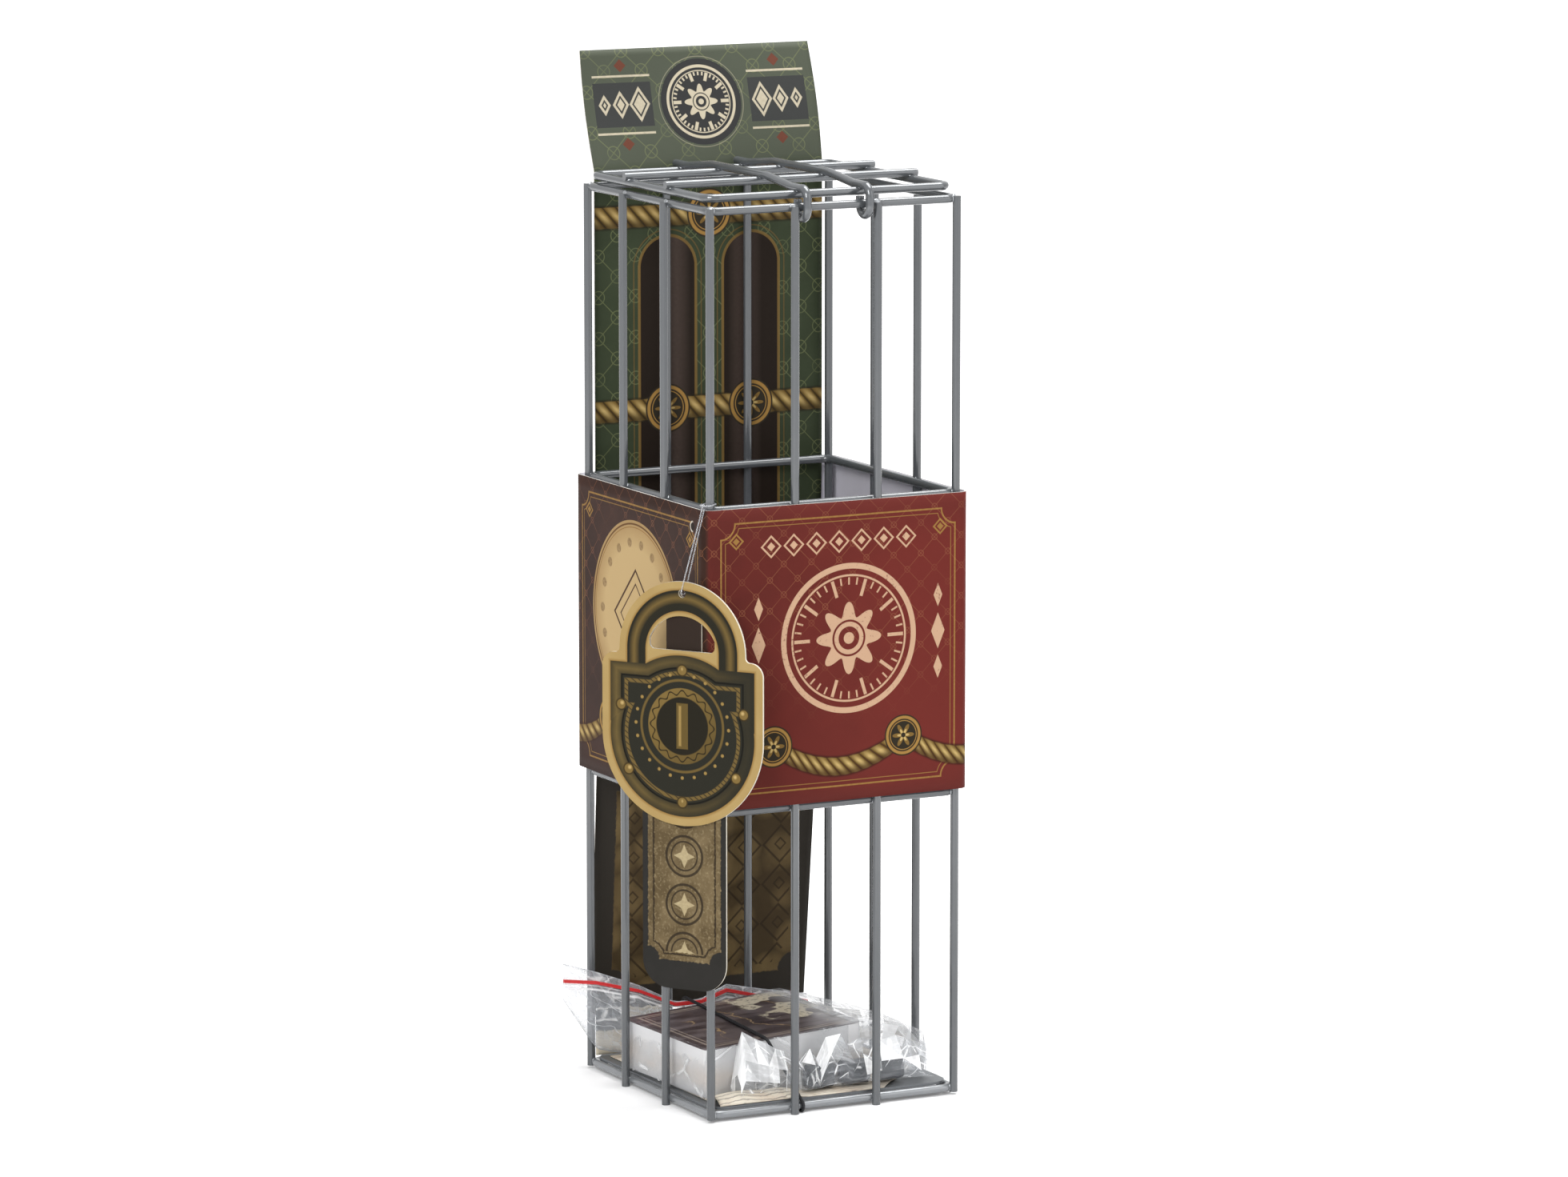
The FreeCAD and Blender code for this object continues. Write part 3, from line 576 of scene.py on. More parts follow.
# %% [markdown]
# ## The card band
# The band is one strip of printed card, folded round the bars and lapped at the back. Four
# flat walls would do from afar, but only a path can carry the lap and the rounded folds. So
# the path runs from the lap round to the back again, and the strip stands on it. Card never
# lies quite flat between two bars, so the front and the right side swell a little.


# %% Paths
def bent_path(corners, bends, steps=7):
    """Straight runs between corners, each inner corner rounded by an arc of its own radius:
    the arc leaves one run and meets the next at its radius over the tangent of half the
    angle between them."""
    corners = np.array(corners, float)
    path = [corners[:1]]
    for before, corner, after, bend in zip(corners, corners[1:], corners[2:], bends):
        back = unit(before - corner)
        ahead = unit(after - corner)
        half = math.acos(np.clip(back @ ahead, -1, 1)) / 2
        centre = corner + unit(back + ahead) * bend / math.sin(half)
        first = corner + back * bend / math.tan(half) - centre
        last = corner + ahead * bend / math.tan(half) - centre
        share = np.linspace(0, 1, steps)[:, None]
        turn = np.pi - 2 * half
        arc = (np.sin((1 - share) * turn) * first + np.sin(share * turn) * last) / np.sin(turn)
        path.append(centre + arc)
    path.append(corners[-1:])
    return np.vstack(path)


def evenly(path, spacing):
    """Points along a path at about the given spacing, with every given point kept, and how
    far along the path each one lies."""
    gaps = np.linalg.norm(np.diff(path, axis=0), axis=1)
    at = np.concatenate([[0], np.cumsum(gaps)])
    fine = [np.linspace(a, b, max(2, int((b - a) / spacing) + 1))[:-1] for a, b in zip(at, at[1:])]
    fine = np.concatenate(fine + [at[-1:]])
    return np.column_stack([np.interp(fine, at, path[:, k]) for k in range(path.shape[1])]), fine


def left_of(path):
    """Unit ways square to a path in plan, on its left: the heading turned by a right angle."""
    heading = np.gradient(path, axis=0)
    return unit(np.column_stack([-heading[:, 1], heading[:, 0]]))


print("a bend of seven steps makes", len(bent_path([(0, 0), (9, 0), (9, 9)], [4.0])), "points")

# %% Band: shape
sleeve_low, sleeve_high = span("sleeve")
sleeve_half = (sleeve_high[0] - sleeve_low[0]) / 2
sleeve_front = sleeve_low[1]
sleeve_lap = sleeve_high[1]
sleeve_thickness = 0.5
sleeve_back = sleeve_lap - sleeve_thickness
sleeve_bend = 4.0
sleeve_swell = 0.35
lap_start = 33.0
lap_end = 45.0
band_corners = [
    (lap_start, sleeve_lap),
    (lap_end, sleeve_lap),
    (lap_end + 2.5, sleeve_back),
    (sleeve_half, sleeve_back),
    (sleeve_half, sleeve_front),
    (-sleeve_half, sleeve_front),
    (-sleeve_half, sleeve_back),
    (lap_end - 1.0, sleeve_back),
]
band_path, band_at = evenly(bent_path(band_corners, [sleeve_bend] * 6), 1.6)
fold = np.argmin(np.hypot(band_path[:, 0] + sleeve_half, band_path[:, 1] - sleeve_front))
band_along = band_at[fold] - band_at
face_pitch = 2 * sleeve_half - 2 * sleeve_bend + np.pi * sleeve_bend / 2
on_right = (band_along > 0.3 * face_pitch) & (band_along < 2 * face_pitch)
face_share = (band_along / face_pitch) % 1.0
swell = np.where(on_right, np.sin(np.pi * face_share) ** 2 * abs(np.sin(3 * np.pi * face_share)), 0)
band_z = np.linspace(sleeve_low[2], sleeve_high[2], 26)[:, None]
edge_share = abs(np.linspace(-1, 1, len(band_z)))[:, None] ** 3
push = sleeve_swell * swell[None, :] * (0.35 + 0.65 * edge_share)
band_flat = band_path[None] + push[..., None] * left_of(band_path)[None]
band_points = points_of(band_flat[..., 0], band_flat[..., 1], band_z)
band_sheet = points_of(band_along[None], band_z, np.zeros_like(push))
print("band length", round(float(band_at[-1]), 1), "mm, face pitch", round(face_pitch, 1), "mm")

# %% [markdown]
# The print on the band is a design of its own: a notched gold border on each face, rope
# swags hung round the lower third, a dial with plain divisions in the middle of the front and
# a tan roundel on the left. Every shape is a distance. A printer lays one ink over another,
# and so do these cells, from the ground up.

# %% Band: print helpers
gold = (158, 122, 66)
pale_gold = (205, 178, 116)
dark_bronze = (48, 43, 34)
cream = (196, 160, 131)


def rope(finish, u, v, level, half, ground):
    """A twisted rope along a line: level is how far each point lies above the line. Slanting
    stripes of light and dark, rounded off towards both edges."""
    across = v - level
    body = across.line(half)
    lay = half * 1.4
    stripes = (u + across * 0.9).repeat(lay)
    glint = (body - half * 0.35).ink(half) * stripes.line(lay * 0.22).ink(lay * 0.3)
    finish.paint(ground, (body + 0.7).ink(0.8) * 0.8)
    finish.paint((112, 88, 46), body.ink(0.25))
    finish.paint(pale_gold, glint * 0.8)
    finish.paint(ground, (abs(stripes) - lay * 0.42).ink(lay * 0.14) * body.ink(0.3) * 0.85)
    finish.paint(ground, (-across - half * 0.3).ink(half * 0.9) * body.ink(0.3) * 0.6)


def medallion(finish, u, v, at_u, at_v, radius, points=8):
    """A dark disc with a gold rim and a star: the star's edge moves in and out with the angle."""
    away, angle = polar(u, v, at_u, at_v)
    star = (angle * points).step("COSINE") * (radius * 0.2) + radius * 0.38
    finish.paint(dark_bronze, (-away + radius).ink(0.2))
    finish.paint(gold, (away - radius * 0.86).line(radius * 0.07).ink(0.3))
    finish.paint(gold, (away - radius * 0.7).line(radius * 0.02).ink(0.15))
    finish.paint((122, 96, 52), (star - away).ink(0.3))
    finish.paint(pale_gold, (star * 0.55 - away).ink(0.5) * 0.8)
    finish.paint(dark_bronze, (-away + radius * 0.12).ink(0.2))


def dial(finish, u, v, at_u, at_v, radius, colour, worn):
    """A dial: two rings, forty short divisions and ten long ones, and a flower at the hub.
    A division is a place where the angle, repeated, comes near to zero."""
    away, angle = polar(u, v, at_u, at_v)
    rings = (away - radius).line(radius * 0.04)
    rings = rings.either((away - radius * 0.87).line(radius * 0.014))
    for count, inner, half in ((40, 0.74, 0.32), (10, 0.6, 0.62)):
        aside = angle.repeat(2 * math.pi / count) * away
        between = (away - radius * (inner + 0.84) / 2).line(radius * (0.84 - inner) / 2)
        rings = rings.either(aside.line(half).both(between))
    flower = (angle * 8.0).step("COSINE") * (radius * 0.1) + radius * 0.4
    petals = (flower - away).without(-away + radius * 0.16)
    petals = petals.without((away - radius * 0.24).line(radius * 0.015))
    shape = rings.either(petals).either(-away + radius * 0.08)
    finish.paint(colour, shape.ink(0.15) * worn)


print("print helpers", [helper.__name__ for helper in (rope, medallion, dial)])

# %% Band: ground and borders
band = Finish("band_print", (108, 45, 40), 0.42, gloss=0.03, sheet=True)
s, z, _ = band.places()
v = z - (sleeve_low[2] + sleeve_high[2]) / 2
front_u = s - face_pitch / 2
left_u = s + face_pitch / 2
each_u = front_u.repeat(face_pitch)
cloud = band.noise(0.045, detail=4.0)
grain = band.noise(0.9, detail=4.0)
on_left = (-s).ink(1.5)
band.paint((84, 38, 34), ((front_u * -0.011 + 0.28) + (cloud - 0.5) * 0.9).at_least(0.0))
band.paint((96, 44, 40), (abs(v) - 44.0).ink(16.0) * 0.6)
band.paint((68, 46, 39), on_left)
band.paint((48, 34, 29), on_left * (cloud - 0.35).ink(0.5) * 0.8)
faded = (cloud - 0.42).ink(0.25) * (v + 8.0).ink(40.0)
band.paint((158, 104, 74), lattice(each_u, v, 11.0, 0.14, 1.5, 0.16).ink(0.2) * faded * 0.42)
border = notched(each_u, v, 0.0, 0.0, 46.8, 48.6, 5.5)
band.paint(gold, border.line(0.3).ink(0.15) * (grain * 0.8 + 0.35).at_most(1.0))
band.paint(gold, (border - 1.7).line(0.14).ink(0.15) * 0.7)
corner_mark = diamond(abs(each_u), v, 40.8, 42.2, 2.6, 2.6)
band.paint(gold, corner_mark.line(0.3).either(corner_mark - 0.9).ink(0.15) * 0.8)
print("band ground and borders", len(band.tree.nodes), "nodes")

# %% Band: swags and front
swag_w = s.repeat(face_pitch / 2)
swag_level = swag_w * swag_w * 0.0135 - 41.5
rope(band, swag_w, v, swag_level, 3.1, (52, 30, 24))
medallion(band, abs(each_u), v, face_pitch / 4, -32.4, 7.5, points=6)
worn = (grain * 0.85 + cloud * 0.35 - 0.42).ink(0.16)
dial(band, front_u, v, 4.0, 4.5, 26.0, cream, worn)
frieze_u = front_u.repeat(9.0)
frieze_v = 39.5
frieze = diamond(frieze_u, v, 0.0, frieze_v, 3.7, 3.7).line(0.32)
frieze = frieze.either(diamond(frieze_u, v, 0.0, frieze_v, 1.6, 1.6))
marks = frieze.both(front_u.line(31.5))
for mark_u in (-32.0, 40.0):
    for mark_v, half in ((4.5, 6.5), (17.5, 4.2), (-8.5, 4.2)):
        marks = marks.either(diamond(front_u, v, mark_u, mark_v, half * 0.42, half))
band.paint(cream, marks.ink(0.15) * worn)
print("band with swags and front", len(band.tree.nodes), "nodes")

# %% Band: left side, punched hole and back
roundel_u = left_u + 3.0
roundel_v = v - 8.0
roundel_away, roundel_angle = polar(roundel_u, roundel_v, 0.0, 0.0)
roundel = -roundel_away + 35.0
band.paint((60, 42, 36), (roundel + 1.1).ink(1.6) * 0.6)
band.paint((190, 163, 117), roundel.ink(0.15))
band.paint((146, 114, 70), (-roundel + 5.5).ink(9.0) * roundel.ink(0.15) * (cloud * 0.9 + 0.2))
band.paint((98, 68, 40), (roundel - 1.3).line(0.32).ink(0.15))
band.paint((140, 104, 60), (roundel - 2.5).line(0.16).ink(0.15))
pips = pips_round(roundel_away, roundel_angle, 18, 27.0, 1.7)
band.paint((96, 70, 46), pips.ink(0.3) * (grain * 1.2).at_most(1.0) * 0.85)
crest = diamond(roundel_u, roundel_v, 0.0, 0.0, 5.0, 5.0)
for half, thin in ((17.0, 0.45), (12.0, 0.3)):
    crest = crest.either(diamond(roundel_u, roundel_v, 0.0, 0.0, half, half).line(thin))
band.paint((74, 52, 38), crest.ink(0.15))
# The punched hole is painted as a dark disc, painted shade seen through it, with a pale rim on one
# side.
punched = disc(s, z, -9.1, 214.5, 1.5)
band.paint((214, 206, 192), (punched + 0.5).ink(0.3) * (-s - 9.0).ink(1.0))
band.paint((34, 25, 22), punched.ink(0.3))
band.paint((98, 42, 40), (abs(front_u) - 1.5 * face_pitch).ink(2.0) * 0.6)
band.drive("Roughness", grain * 0.1 + 0.37)
band.bump(band.noise(1.6), 0.12, 0.03)
print("whole band print", len(band.tree.nodes), "nodes")

# %% Band: card
band_inside = mottled(
    "card_back_grey", (196, 194, 202), (176, 174, 184), 0.12, 0.5, 0.6, detail=4.0, sheet=True
)
band_inside.bump(band_inside.noise(1.1), 0.15, 0.03)
card_core = mottled("card_core", (232, 229, 222), (205, 200, 190), 1.4, 0.4, 0.7)
band_layers = [band, band_inside, card_core]
band_faces = grid_faces(*band_points.shape[:2])
sleeve_piece = make_piece(
    "printed_band", band_points, band_faces, band_layers, "cage", band_sheet
)
give_thickness(sleeve_piece, sleeve_thickness, back=1, rim=2)
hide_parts("sleeve")
print("band faces", len(band_faces))

# %% [markdown]
# ## The standing card
# Behind the cage stands a tall printed card. The band holds it against the back bars, its
# lower end hangs free and its head leans back along a fold. A flat mesh could be bent by a
# modifier, but in side view the card is just a bent line. So it is that line carried across
# its width, and the length along the line places the print.

# %% Standing card: shape
card_low, card_high = span("display_card")
card_middle = (card_low[0] + card_high[0]) / 2
card_front = card_low[1]
card_foot = card_low[2]
card_thickness = 0.5
card_tail = 108.0
card_fold = 331.0
card_head = 44.5
head_lean = math.radians(15.5)
tail_lean = math.radians(4.2)
card_taper = 4.0
head_warp = 1.7
card_corners = [
    (card_front + (card_tail - card_foot) * math.tan(tail_lean), card_foot),
    (card_front, card_tail),
    (card_front, card_fold),
    (card_front + card_head * math.sin(head_lean), card_fold + card_head * math.cos(head_lean)),
]
card_path, card_at = evenly(bent_path(card_corners, [8.0, 8.0]), 2.5)
card_v = (card_at + card_foot)[:, None]
card_u = np.linspace(0, 1, 41)[None]
drawn_in = card_taper * np.clip((sleeve_high[2] - card_v) / (sleeve_high[2] - card_foot), 0, 1)
head_share = np.clip((card_v - card_fold) / card_head, 0, 1)
warp = head_warp * np.sin(np.pi * head_share) * (1 - 2 * card_u)
card_x = card_low[0] + card_u * (card_high[0] - drawn_in - card_low[0])
card_points = points_of(card_x, card_path[:, :1] + warp, card_path[:, 1:])
card_sheet = points_of(card_x - card_middle, card_v, np.zeros_like(card_x))
card_wide = float(card_high[0] - card_low[0])
print("card", round(float(card_at[-1]), 1), "mm long,", round(card_wide, 1), "mm wide")

# %% [markdown]
# The card's print is in three parts: a green lattice with two dark arches behind straight
# ropes, a brown panel with a diaper of diamonds below the band, and a header with a dial
# between two plates. The card's own sheet coordinates carry the print over the fold.

# %% Standing card: arches and ropes
card = Finish("card_print", (62, 70, 52), 0.5, gloss=0.06, sheet=True)
u, v, _ = card.places()
cloud = card.noise(0.05, detail=4.0)
grain = card.noise(0.8, detail=4.0)
card.paint((44, 51, 36), (cloud - 0.35).ink(0.5) * 0.55)
card.paint((84, 88, 77), (v - card_fold).ink(6.0) * 0.75)
web = lattice(u, v, 15.0, 0.22, 3.4, 0.25)
card.paint((128, 134, 92), web.ink(0.3) * (cloud - 0.3).ink(0.4) * 0.4)
arch_at = 17.0
arch_half = 11.5
arch_u = abs(u) - arch_at
arch = bar(arch_u, v, 0.0, 205.0, arch_half, 90.0).either(disc(arch_u, v, 0.0, 295.0, arch_half))
card.paint((34, 27, 22), arch.ink(0.3))
card.paint((78, 66, 60), (arch_u + 2.5).line(4.0).ink(6.0) * arch.ink(0.3) * (grain * 0.4 + 0.6))
card.paint((120, 96, 54), arch.line(0.55).ink(0.2) * 0.8)
card.paint((112, 88, 50), (arch + 2.2).line(0.22).ink(0.2) * 0.6)
upper_rope = 314.0
lower_rope = 243.0
for rope_v in (upper_rope, lower_rope):
    rope(card, u, v, rope_v, 3.8, (34, 29, 20))
medallion(card, u, v, 0.0, upper_rope, 9.0)
medallion(card, abs(u), v, arch_at, lower_rope, 9.0)
print("card arches and ropes", len(card.tree.nodes), "nodes")

# %% Standing card: lower panel
below = (-v + 118.0).ink(10.0)
card.paint((54, 50, 45), below)
panel = notched(u, v, 0.0, 68.0, 38.0, 41.0, 7.0) + (grain - 0.5) * 1.2
on_panel = panel.ink(0.6) * below
blots = card.cells(0.085)
pale_blots = (-blots + 0.26).ink(0.3) * (grain - 0.3).ink(0.4)
card.paint((116, 98, 66), on_panel)
card.paint((64, 53, 37), on_panel * (blots - 0.58).ink(0.25) * 0.85)
card.paint((132, 112, 76), on_panel * pale_blots * 0.6)
card.paint((66, 53, 36), on_panel * (cloud - 0.46).ink(0.3) * 0.6)
diaper = diamond(u.repeat(15.2), v.repeat(15.2), 0.0, 0.0, 7.0, 7.0)
diaper = diaper.line(0.4).either((diaper - 3.4).line(0.3)).both(panel - 3.0)
card.paint((52, 42, 30), diaper.ink(0.2) * below * 0.8)
print("card with its lower panel", len(card.tree.nodes), "nodes")

# %% Standing card: header
head_cream = (190, 180, 157)
head_v = v - 355.0
plate_u = abs(u) - 31.0
plate_half = 11.5
card.paint((54, 54, 54), disc(u, head_v, 0.0, 0.0, 16.0).ink(0.2))
card.paint((150, 146, 124), disc(u, head_v, 0.0, 0.0, 16.8).line(0.16).ink(0.15) * 0.6)
dial(card, u, head_v, 0.0, 0.0, 13.2, head_cream, 1.0)
card.paint((60, 61, 60), bar(plate_u, head_v, 0.0, 0.0, plate_half, 8.2).ink(0.2))
head_marks = bar(plate_u, abs(head_v), 0.0, 10.6, plate_half, 0.4)
for mark_u, half in ((24.5, 6.6), (32.0, 5.2), (38.4, 3.9)):
    tall = diamond(abs(u), head_v, mark_u, 0.0, half * 0.62, half)
    head_marks = head_marks.either(tall.without((tall - 1.2).line(0.3)))
card.paint(head_cream, head_marks.ink(0.15) * (grain * 0.6 + 0.62).at_most(1.0))
card.paint((102, 62, 50), diamond(plate_u, abs(head_v), 0.0, 14.5, 2.4, 2.4).ink(0.2))
card.drive("Roughness", grain * 0.1 + 0.44)
card.bump(card.noise(1.4), 0.12, 0.03)
print("whole card print", len(card.tree.nodes), "nodes")

# %% Standing card: card
card_back = mottled(
    "card_back_white", (236, 235, 231), (216, 213, 206), 0.08, 0.5, 0.65, detail=4.0, sheet=True
)
card_back.bump(card_back.noise(1.2), 0.15, 0.03)
card_layers = [card, card_back, card_core]
card_faces = grid_faces(*card_points.shape[:2])[:, ::-1]
card_piece = make_piece(
    "printed_card", card_points, card_faces, card_layers, "cage", card_sheet
)
give_thickness(card_piece, card_thickness, back=1, rim=2)
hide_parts("display_card")
print("card faces", len(card_faces))

# %% [markdown]
# ## The tags
# Two die-cut card tags hang before the left front corner, turned out over it. Their solids
# are right as they are, so they keep them and get their print as ink. The tag's own width
# runs slantwise in the frame, so a dot product turns frame coordinates into tag coordinates.
# Ink lies on the outer face alone, and the cut edges stay the colour of the board.

# %% Tags: places
tag_turn = math.radians(55.0)
tag_middle = 4.1
core_edge = (226, 219, 203)


def tag_places(finish, face_out):
    """Across the tag and up, in millimetres from its middle line, and 1 on the face that lies
    face_out from the cage's axis."""
    x, y, z = finish.places()
    across = x * math.cos(tag_turn) - y * math.sin(tag_turn) - tag_middle
    out = -(x * math.sin(tag_turn)) - y * math.cos(tag_turn)
    return across, z, (out - face_out).ink(0.06)


lock = Finish("padlock_print", core_edge, 0.45, gloss=0.06)
u, z, facing = tag_places(lock, 74.65)
cloud = lock.noise(0.1, detail=4.0)
grain = lock.noise(0.9, detail=4.0)


def lock_ink(colour, amount):
    """Ink on the lock tag's outer face."""
    lock.paint(colour, amount * facing)


case = bar(u, z, 0.0, 154.5, 32.2, 14.1).either(disc(u, z, 0.0, 140.4, 32.2)) - 3.3
on_case = case.ink(0.2)
bow_away = length_of(u, (z - 170.5).at_least(0.0))
shackle = (bow_away - 18.4).line(3.7).both(z - 164.0)
bevel = (case - 2.4).line(1.5).ink(2.8) * (u * -0.016 + 0.5).at_most(1.0)
inlay = (case - 6.4).line(0.7).both((u * 0.7 + z).repeat(1.9).line(0.75))
lock.paint((174, 149, 99), facing)
lock_ink((154, 127, 77), (cloud - 0.4).ink(0.6) * 0.5)
lock_ink((140, 108, 58), (case.either(shackle) + 0.6).ink(0.8) * 0.8)
lock_ink((38, 36, 28), shackle.ink(0.2))
lock_ink((112, 92, 52), (bow_away - 19.3).line(0.9).ink(2.4) * shackle.ink(0.2))
lock_ink((40, 39, 32), on_case)
lock_ink((116, 97, 56), bevel * on_case * (cloud * 0.8 + 0.3))
lock_ink((22, 21, 16), (case - 4.6).line(0.35).ink(0.3))
lock_ink((112, 92, 52), inlay.ink(0.4) * 0.9)
print("lock tag, case and shackle", len(lock.tree.nodes), "nodes")

# %% Tags: lock face
hub_v = z - 144.0
away, angle = polar(u, hub_v, 0.0, 0.0)
hub = -away + 13.6
rays = (angle * 16.0).step("COSINE") * 0.8 + 12.0
lock_ink((102, 84, 47), (-away + 16.4).line(0.45).ink(0.4))
lock_ink((84, 69, 38), hub.ink(0.3))
lock_ink((118, 97, 54), (u * -0.03 + hub_v * 0.03 + 0.2).ink(1.4) * hub.ink(0.3))
lock_ink((34, 31, 23), (-away + 10.4).ink(0.4))
lock_ink((44, 37, 22), (rays - away).line(0.28).ink(0.3))
lock_ink((148, 122, 70), pips_round(away, angle, 24, 18.6, 0.6).ink(0.3))
lock_ink((96, 79, 43), bar(u, hub_v, 0.0, 0.0, 2.3, 8.2).ink(0.3))
lock_ink((150, 125, 74), bar(u, hub_v, -0.9, 0.0, 0.5, 7.2).ink(0.5))
for stud_u, stud_z in ((0.0, 164.0), (0.0, 116.6), (24.6, 150.0), (21.6, 127.0)):
    stud = disc(abs(u), z, stud_u, stud_z, 1.7)
    lock_ink((58, 47, 27), (stud + 0.5).ink(0.5))
    lock_ink((122, 100, 56), stud.ink(0.3))
    lock_ink((186, 160, 104), disc(abs(u), z, stud_u - 0.4, stud_z + 0.5, 0.6).ink(0.7))
lock.drive("Roughness", grain * 0.1 + 0.4)
dress(lock, "padlock_tag")
print("whole lock tag", len(lock.tree.nodes), "nodes")

# %% Tags: bottle
flask = Finish("flask_print", core_edge, 0.45, gloss=0.08)
u, z, facing = tag_places(flask, 73.3)
cloud = flask.noise(0.12, detail=4.0)
grain = flask.noise(1.0, detail=4.0)
label_brown = (46, 38, 28)
label_v = z - 97.0
label = notched(u, label_v, 0.0, 0.0, 14.6, 38.0, 4.5) + (grain - 0.5) * 1.2
on_label = label.ink(0.4) * facing
bead_v = label_v.repeat(17.5)
beads = disc(u, bead_v, 0.0, 0.0, 7.2).line(0.45).either(disc(u, bead_v, 0.0, 0.0, 5.2).line(0.3))
stars = diamond(u, bead_v, 0.0, 0.0, 1.9, 4.2).either(diamond(u, bead_v, 0.0, 0.0, 4.2, 1.9))
flask.paint((46, 44, 42), facing)
flask.paint((38, 37, 34), facing * (cloud - 0.35).ink(0.5) * 0.6)
flask.paint((44, 34, 28), (z - 150.0).ink(4.0) * facing)
flask.paint((118, 102, 74), on_label)
flask.paint((84, 70, 47), on_label * (cloud - 0.45).ink(0.3) * 0.85)
flask.paint((150, 134, 102), on_label * (grain - 0.62).ink(0.2) * 0.6)
flask.paint(label_brown, (label - 2.2).line(0.35).ink(0.2) * facing * 0.9)
flask.paint(label_brown, beads.both(label - 3.0).ink(0.2) * facing * 0.9)
star_ink = stars.both(label - 3.0).ink(0.2) * (grain * 0.8 + 0.5).at_most(1.0)
flask.paint((176, 160, 124), star_ink * facing)
flask.drive("Roughness", grain * 0.1 + 0.38)
dress(flask, "bottle_tag")
print("whole bottle tag", len(flask.tree.nodes), "nodes")

# %% [markdown]
# ## The string
# A clear nylon thread ties the tags to the corner post: a small tight loop round the post,
# and a long hairpin from it through both holes. Straight runs from point to point would show
# corners that a thread does not have. So the hairpin is a smooth curve that has the route's
# points as its control points, hung over the loop's front.

# %% String: route
nylon = mottled("clear_nylon", (226, 228, 232), (205, 208, 214), 0.8, 0.5, 0.18)
nylon.shader.inputs["Transmission Weight"].default_value = 0.45
nylon.shader.inputs["Alpha"].default_value = 0.4
dress(nylon, "string_loop")
string_diameter = 0.5


def on_tag(along, out, z):
    """A point from its place across the tags, its distance out and its height."""
    x = math.cos(tag_turn) * along - math.sin(tag_turn) * out
    y = -math.sin(tag_turn) * along - math.cos(tag_turn) * out
    return (x, y, z)


loop_z = sum(span("string_loop"))[2] / 2
post_x, post_y = sum(span("post_front_left"))[:2] / 2
post_along = post_x * math.cos(tag_turn) - post_y * math.sin(tag_turn)
link_out = 73.59
hole_z = 191.4
front_out = 75.29
back_out = 72.04
between_along = post_along * 0.55 + tag_middle * 0.45
between_z = loop_z * 0.55 + hole_z * 0.45
string_route = [
    on_tag(post_along, link_out - 0.6, loop_z - 0.3),
    on_tag(post_along, link_out - 0.6, loop_z + 0.65),
    on_tag(post_along, link_out + 0.6, loop_z + 0.65),
    on_tag(post_along, link_out + 0.6, loop_z - 0.6),
    on_tag(between_along, link_out + 1.0, between_z),
    on_tag(tag_middle, front_out, hole_z + 0.9),
    on_tag(tag_middle, front_out, hole_z - 0.35),
    on_tag(tag_middle, back_out, hole_z - 0.35),
    on_tag(tag_middle, back_out, hole_z + 0.9),
    on_tag(between_along, link_out - 1.2, between_z),
    on_tag(post_along, link_out - 0.75, loop_z - 1.2),
]
print("string from", [round(c, 1) for c in string_route[0]], "through", len(string_route), "points")

# %% String: thread
thread_curve = bpy.data.curves.new("tag_thread", "CURVE")
thread_curve.dimensions = "3D"
thread_line = thread_curve.splines.new("NURBS")
thread_line.points.add(len(string_route) - 1)
thread_points = np.column_stack([np.array(string_route) * mm, np.ones(len(string_route))])
thread_line.points.foreach_set("co", thread_points.ravel())
thread_line.order_u = 3
thread_line.use_endpoint_u = True
thread_line.resolution_u = 8
thread_curve.bevel_depth = string_diameter / 2 * mm
thread_curve.bevel_resolution = 3
thread_curve.use_fill_caps = True
thread_curve.materials.append(nylon.material)
thread = bpy.data.objects.new("tag_thread", thread_curve)
scene.collection.objects.link(thread)
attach(thread, "padlock_tag")
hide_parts("tag_string")
print("thread", string_diameter, "mm thick, drop", round(loop_z - hole_z, 1), "mm")

# %% [markdown]
# ## The packed set
# A deck of cards lies on a leaflet, with a printed card on top. Loose cards never stack
# level, so its top rises a little to the right. A thin black elastic cord ties it down. Every
# card could be a piece, but fine lines on the deck's edge look the same at this size. The
# print is drawn in the deck's own directions: along its front edge and back from it.

# %% Deck
deck_corner = np.array([-44.5, -38.0])
deck_width = 65.0
deck_depth = 61.1
deck_turn = math.radians(2.9)
deck_rise = math.tan(math.radians(3.0))
deck_top = 23.8
deck_across = np.array([math.cos(deck_turn), math.sin(deck_turn)])
deck_backward = np.array([-math.sin(deck_turn), math.cos(deck_turn)])
sheet_pitch = 0.34

deck = Finish("deck_edges", (222, 222, 223), 0.6, gloss=0.3)
_, _, z = deck.places()
deck_cloud = deck.noise(0.07, detail=3.0, stretch=(1.0, 1.0, 1.6))
deck.paint((198, 197, 195), (-z + 16.5).ink(6.0) * 0.8)
deck.paint((206, 190, 174), (deck_cloud - 0.42).ink(0.3) * (z - 12.0).line(5.0).ink(6.0) * 0.55)
deck.paint((182, 183, 185), (-z + 8.5).ink(4.0) * 0.6)
deck.paint((202, 201, 202), z.repeat(sheet_pitch).line(0.05).ink(0.12) * 0.35)
dress(deck, "card_deck")
deck_lift = deck_width * deck_rise
print("deck", deck_width, "by", deck_depth, "mm, right side", round(deck_lift, 1), "mm up")

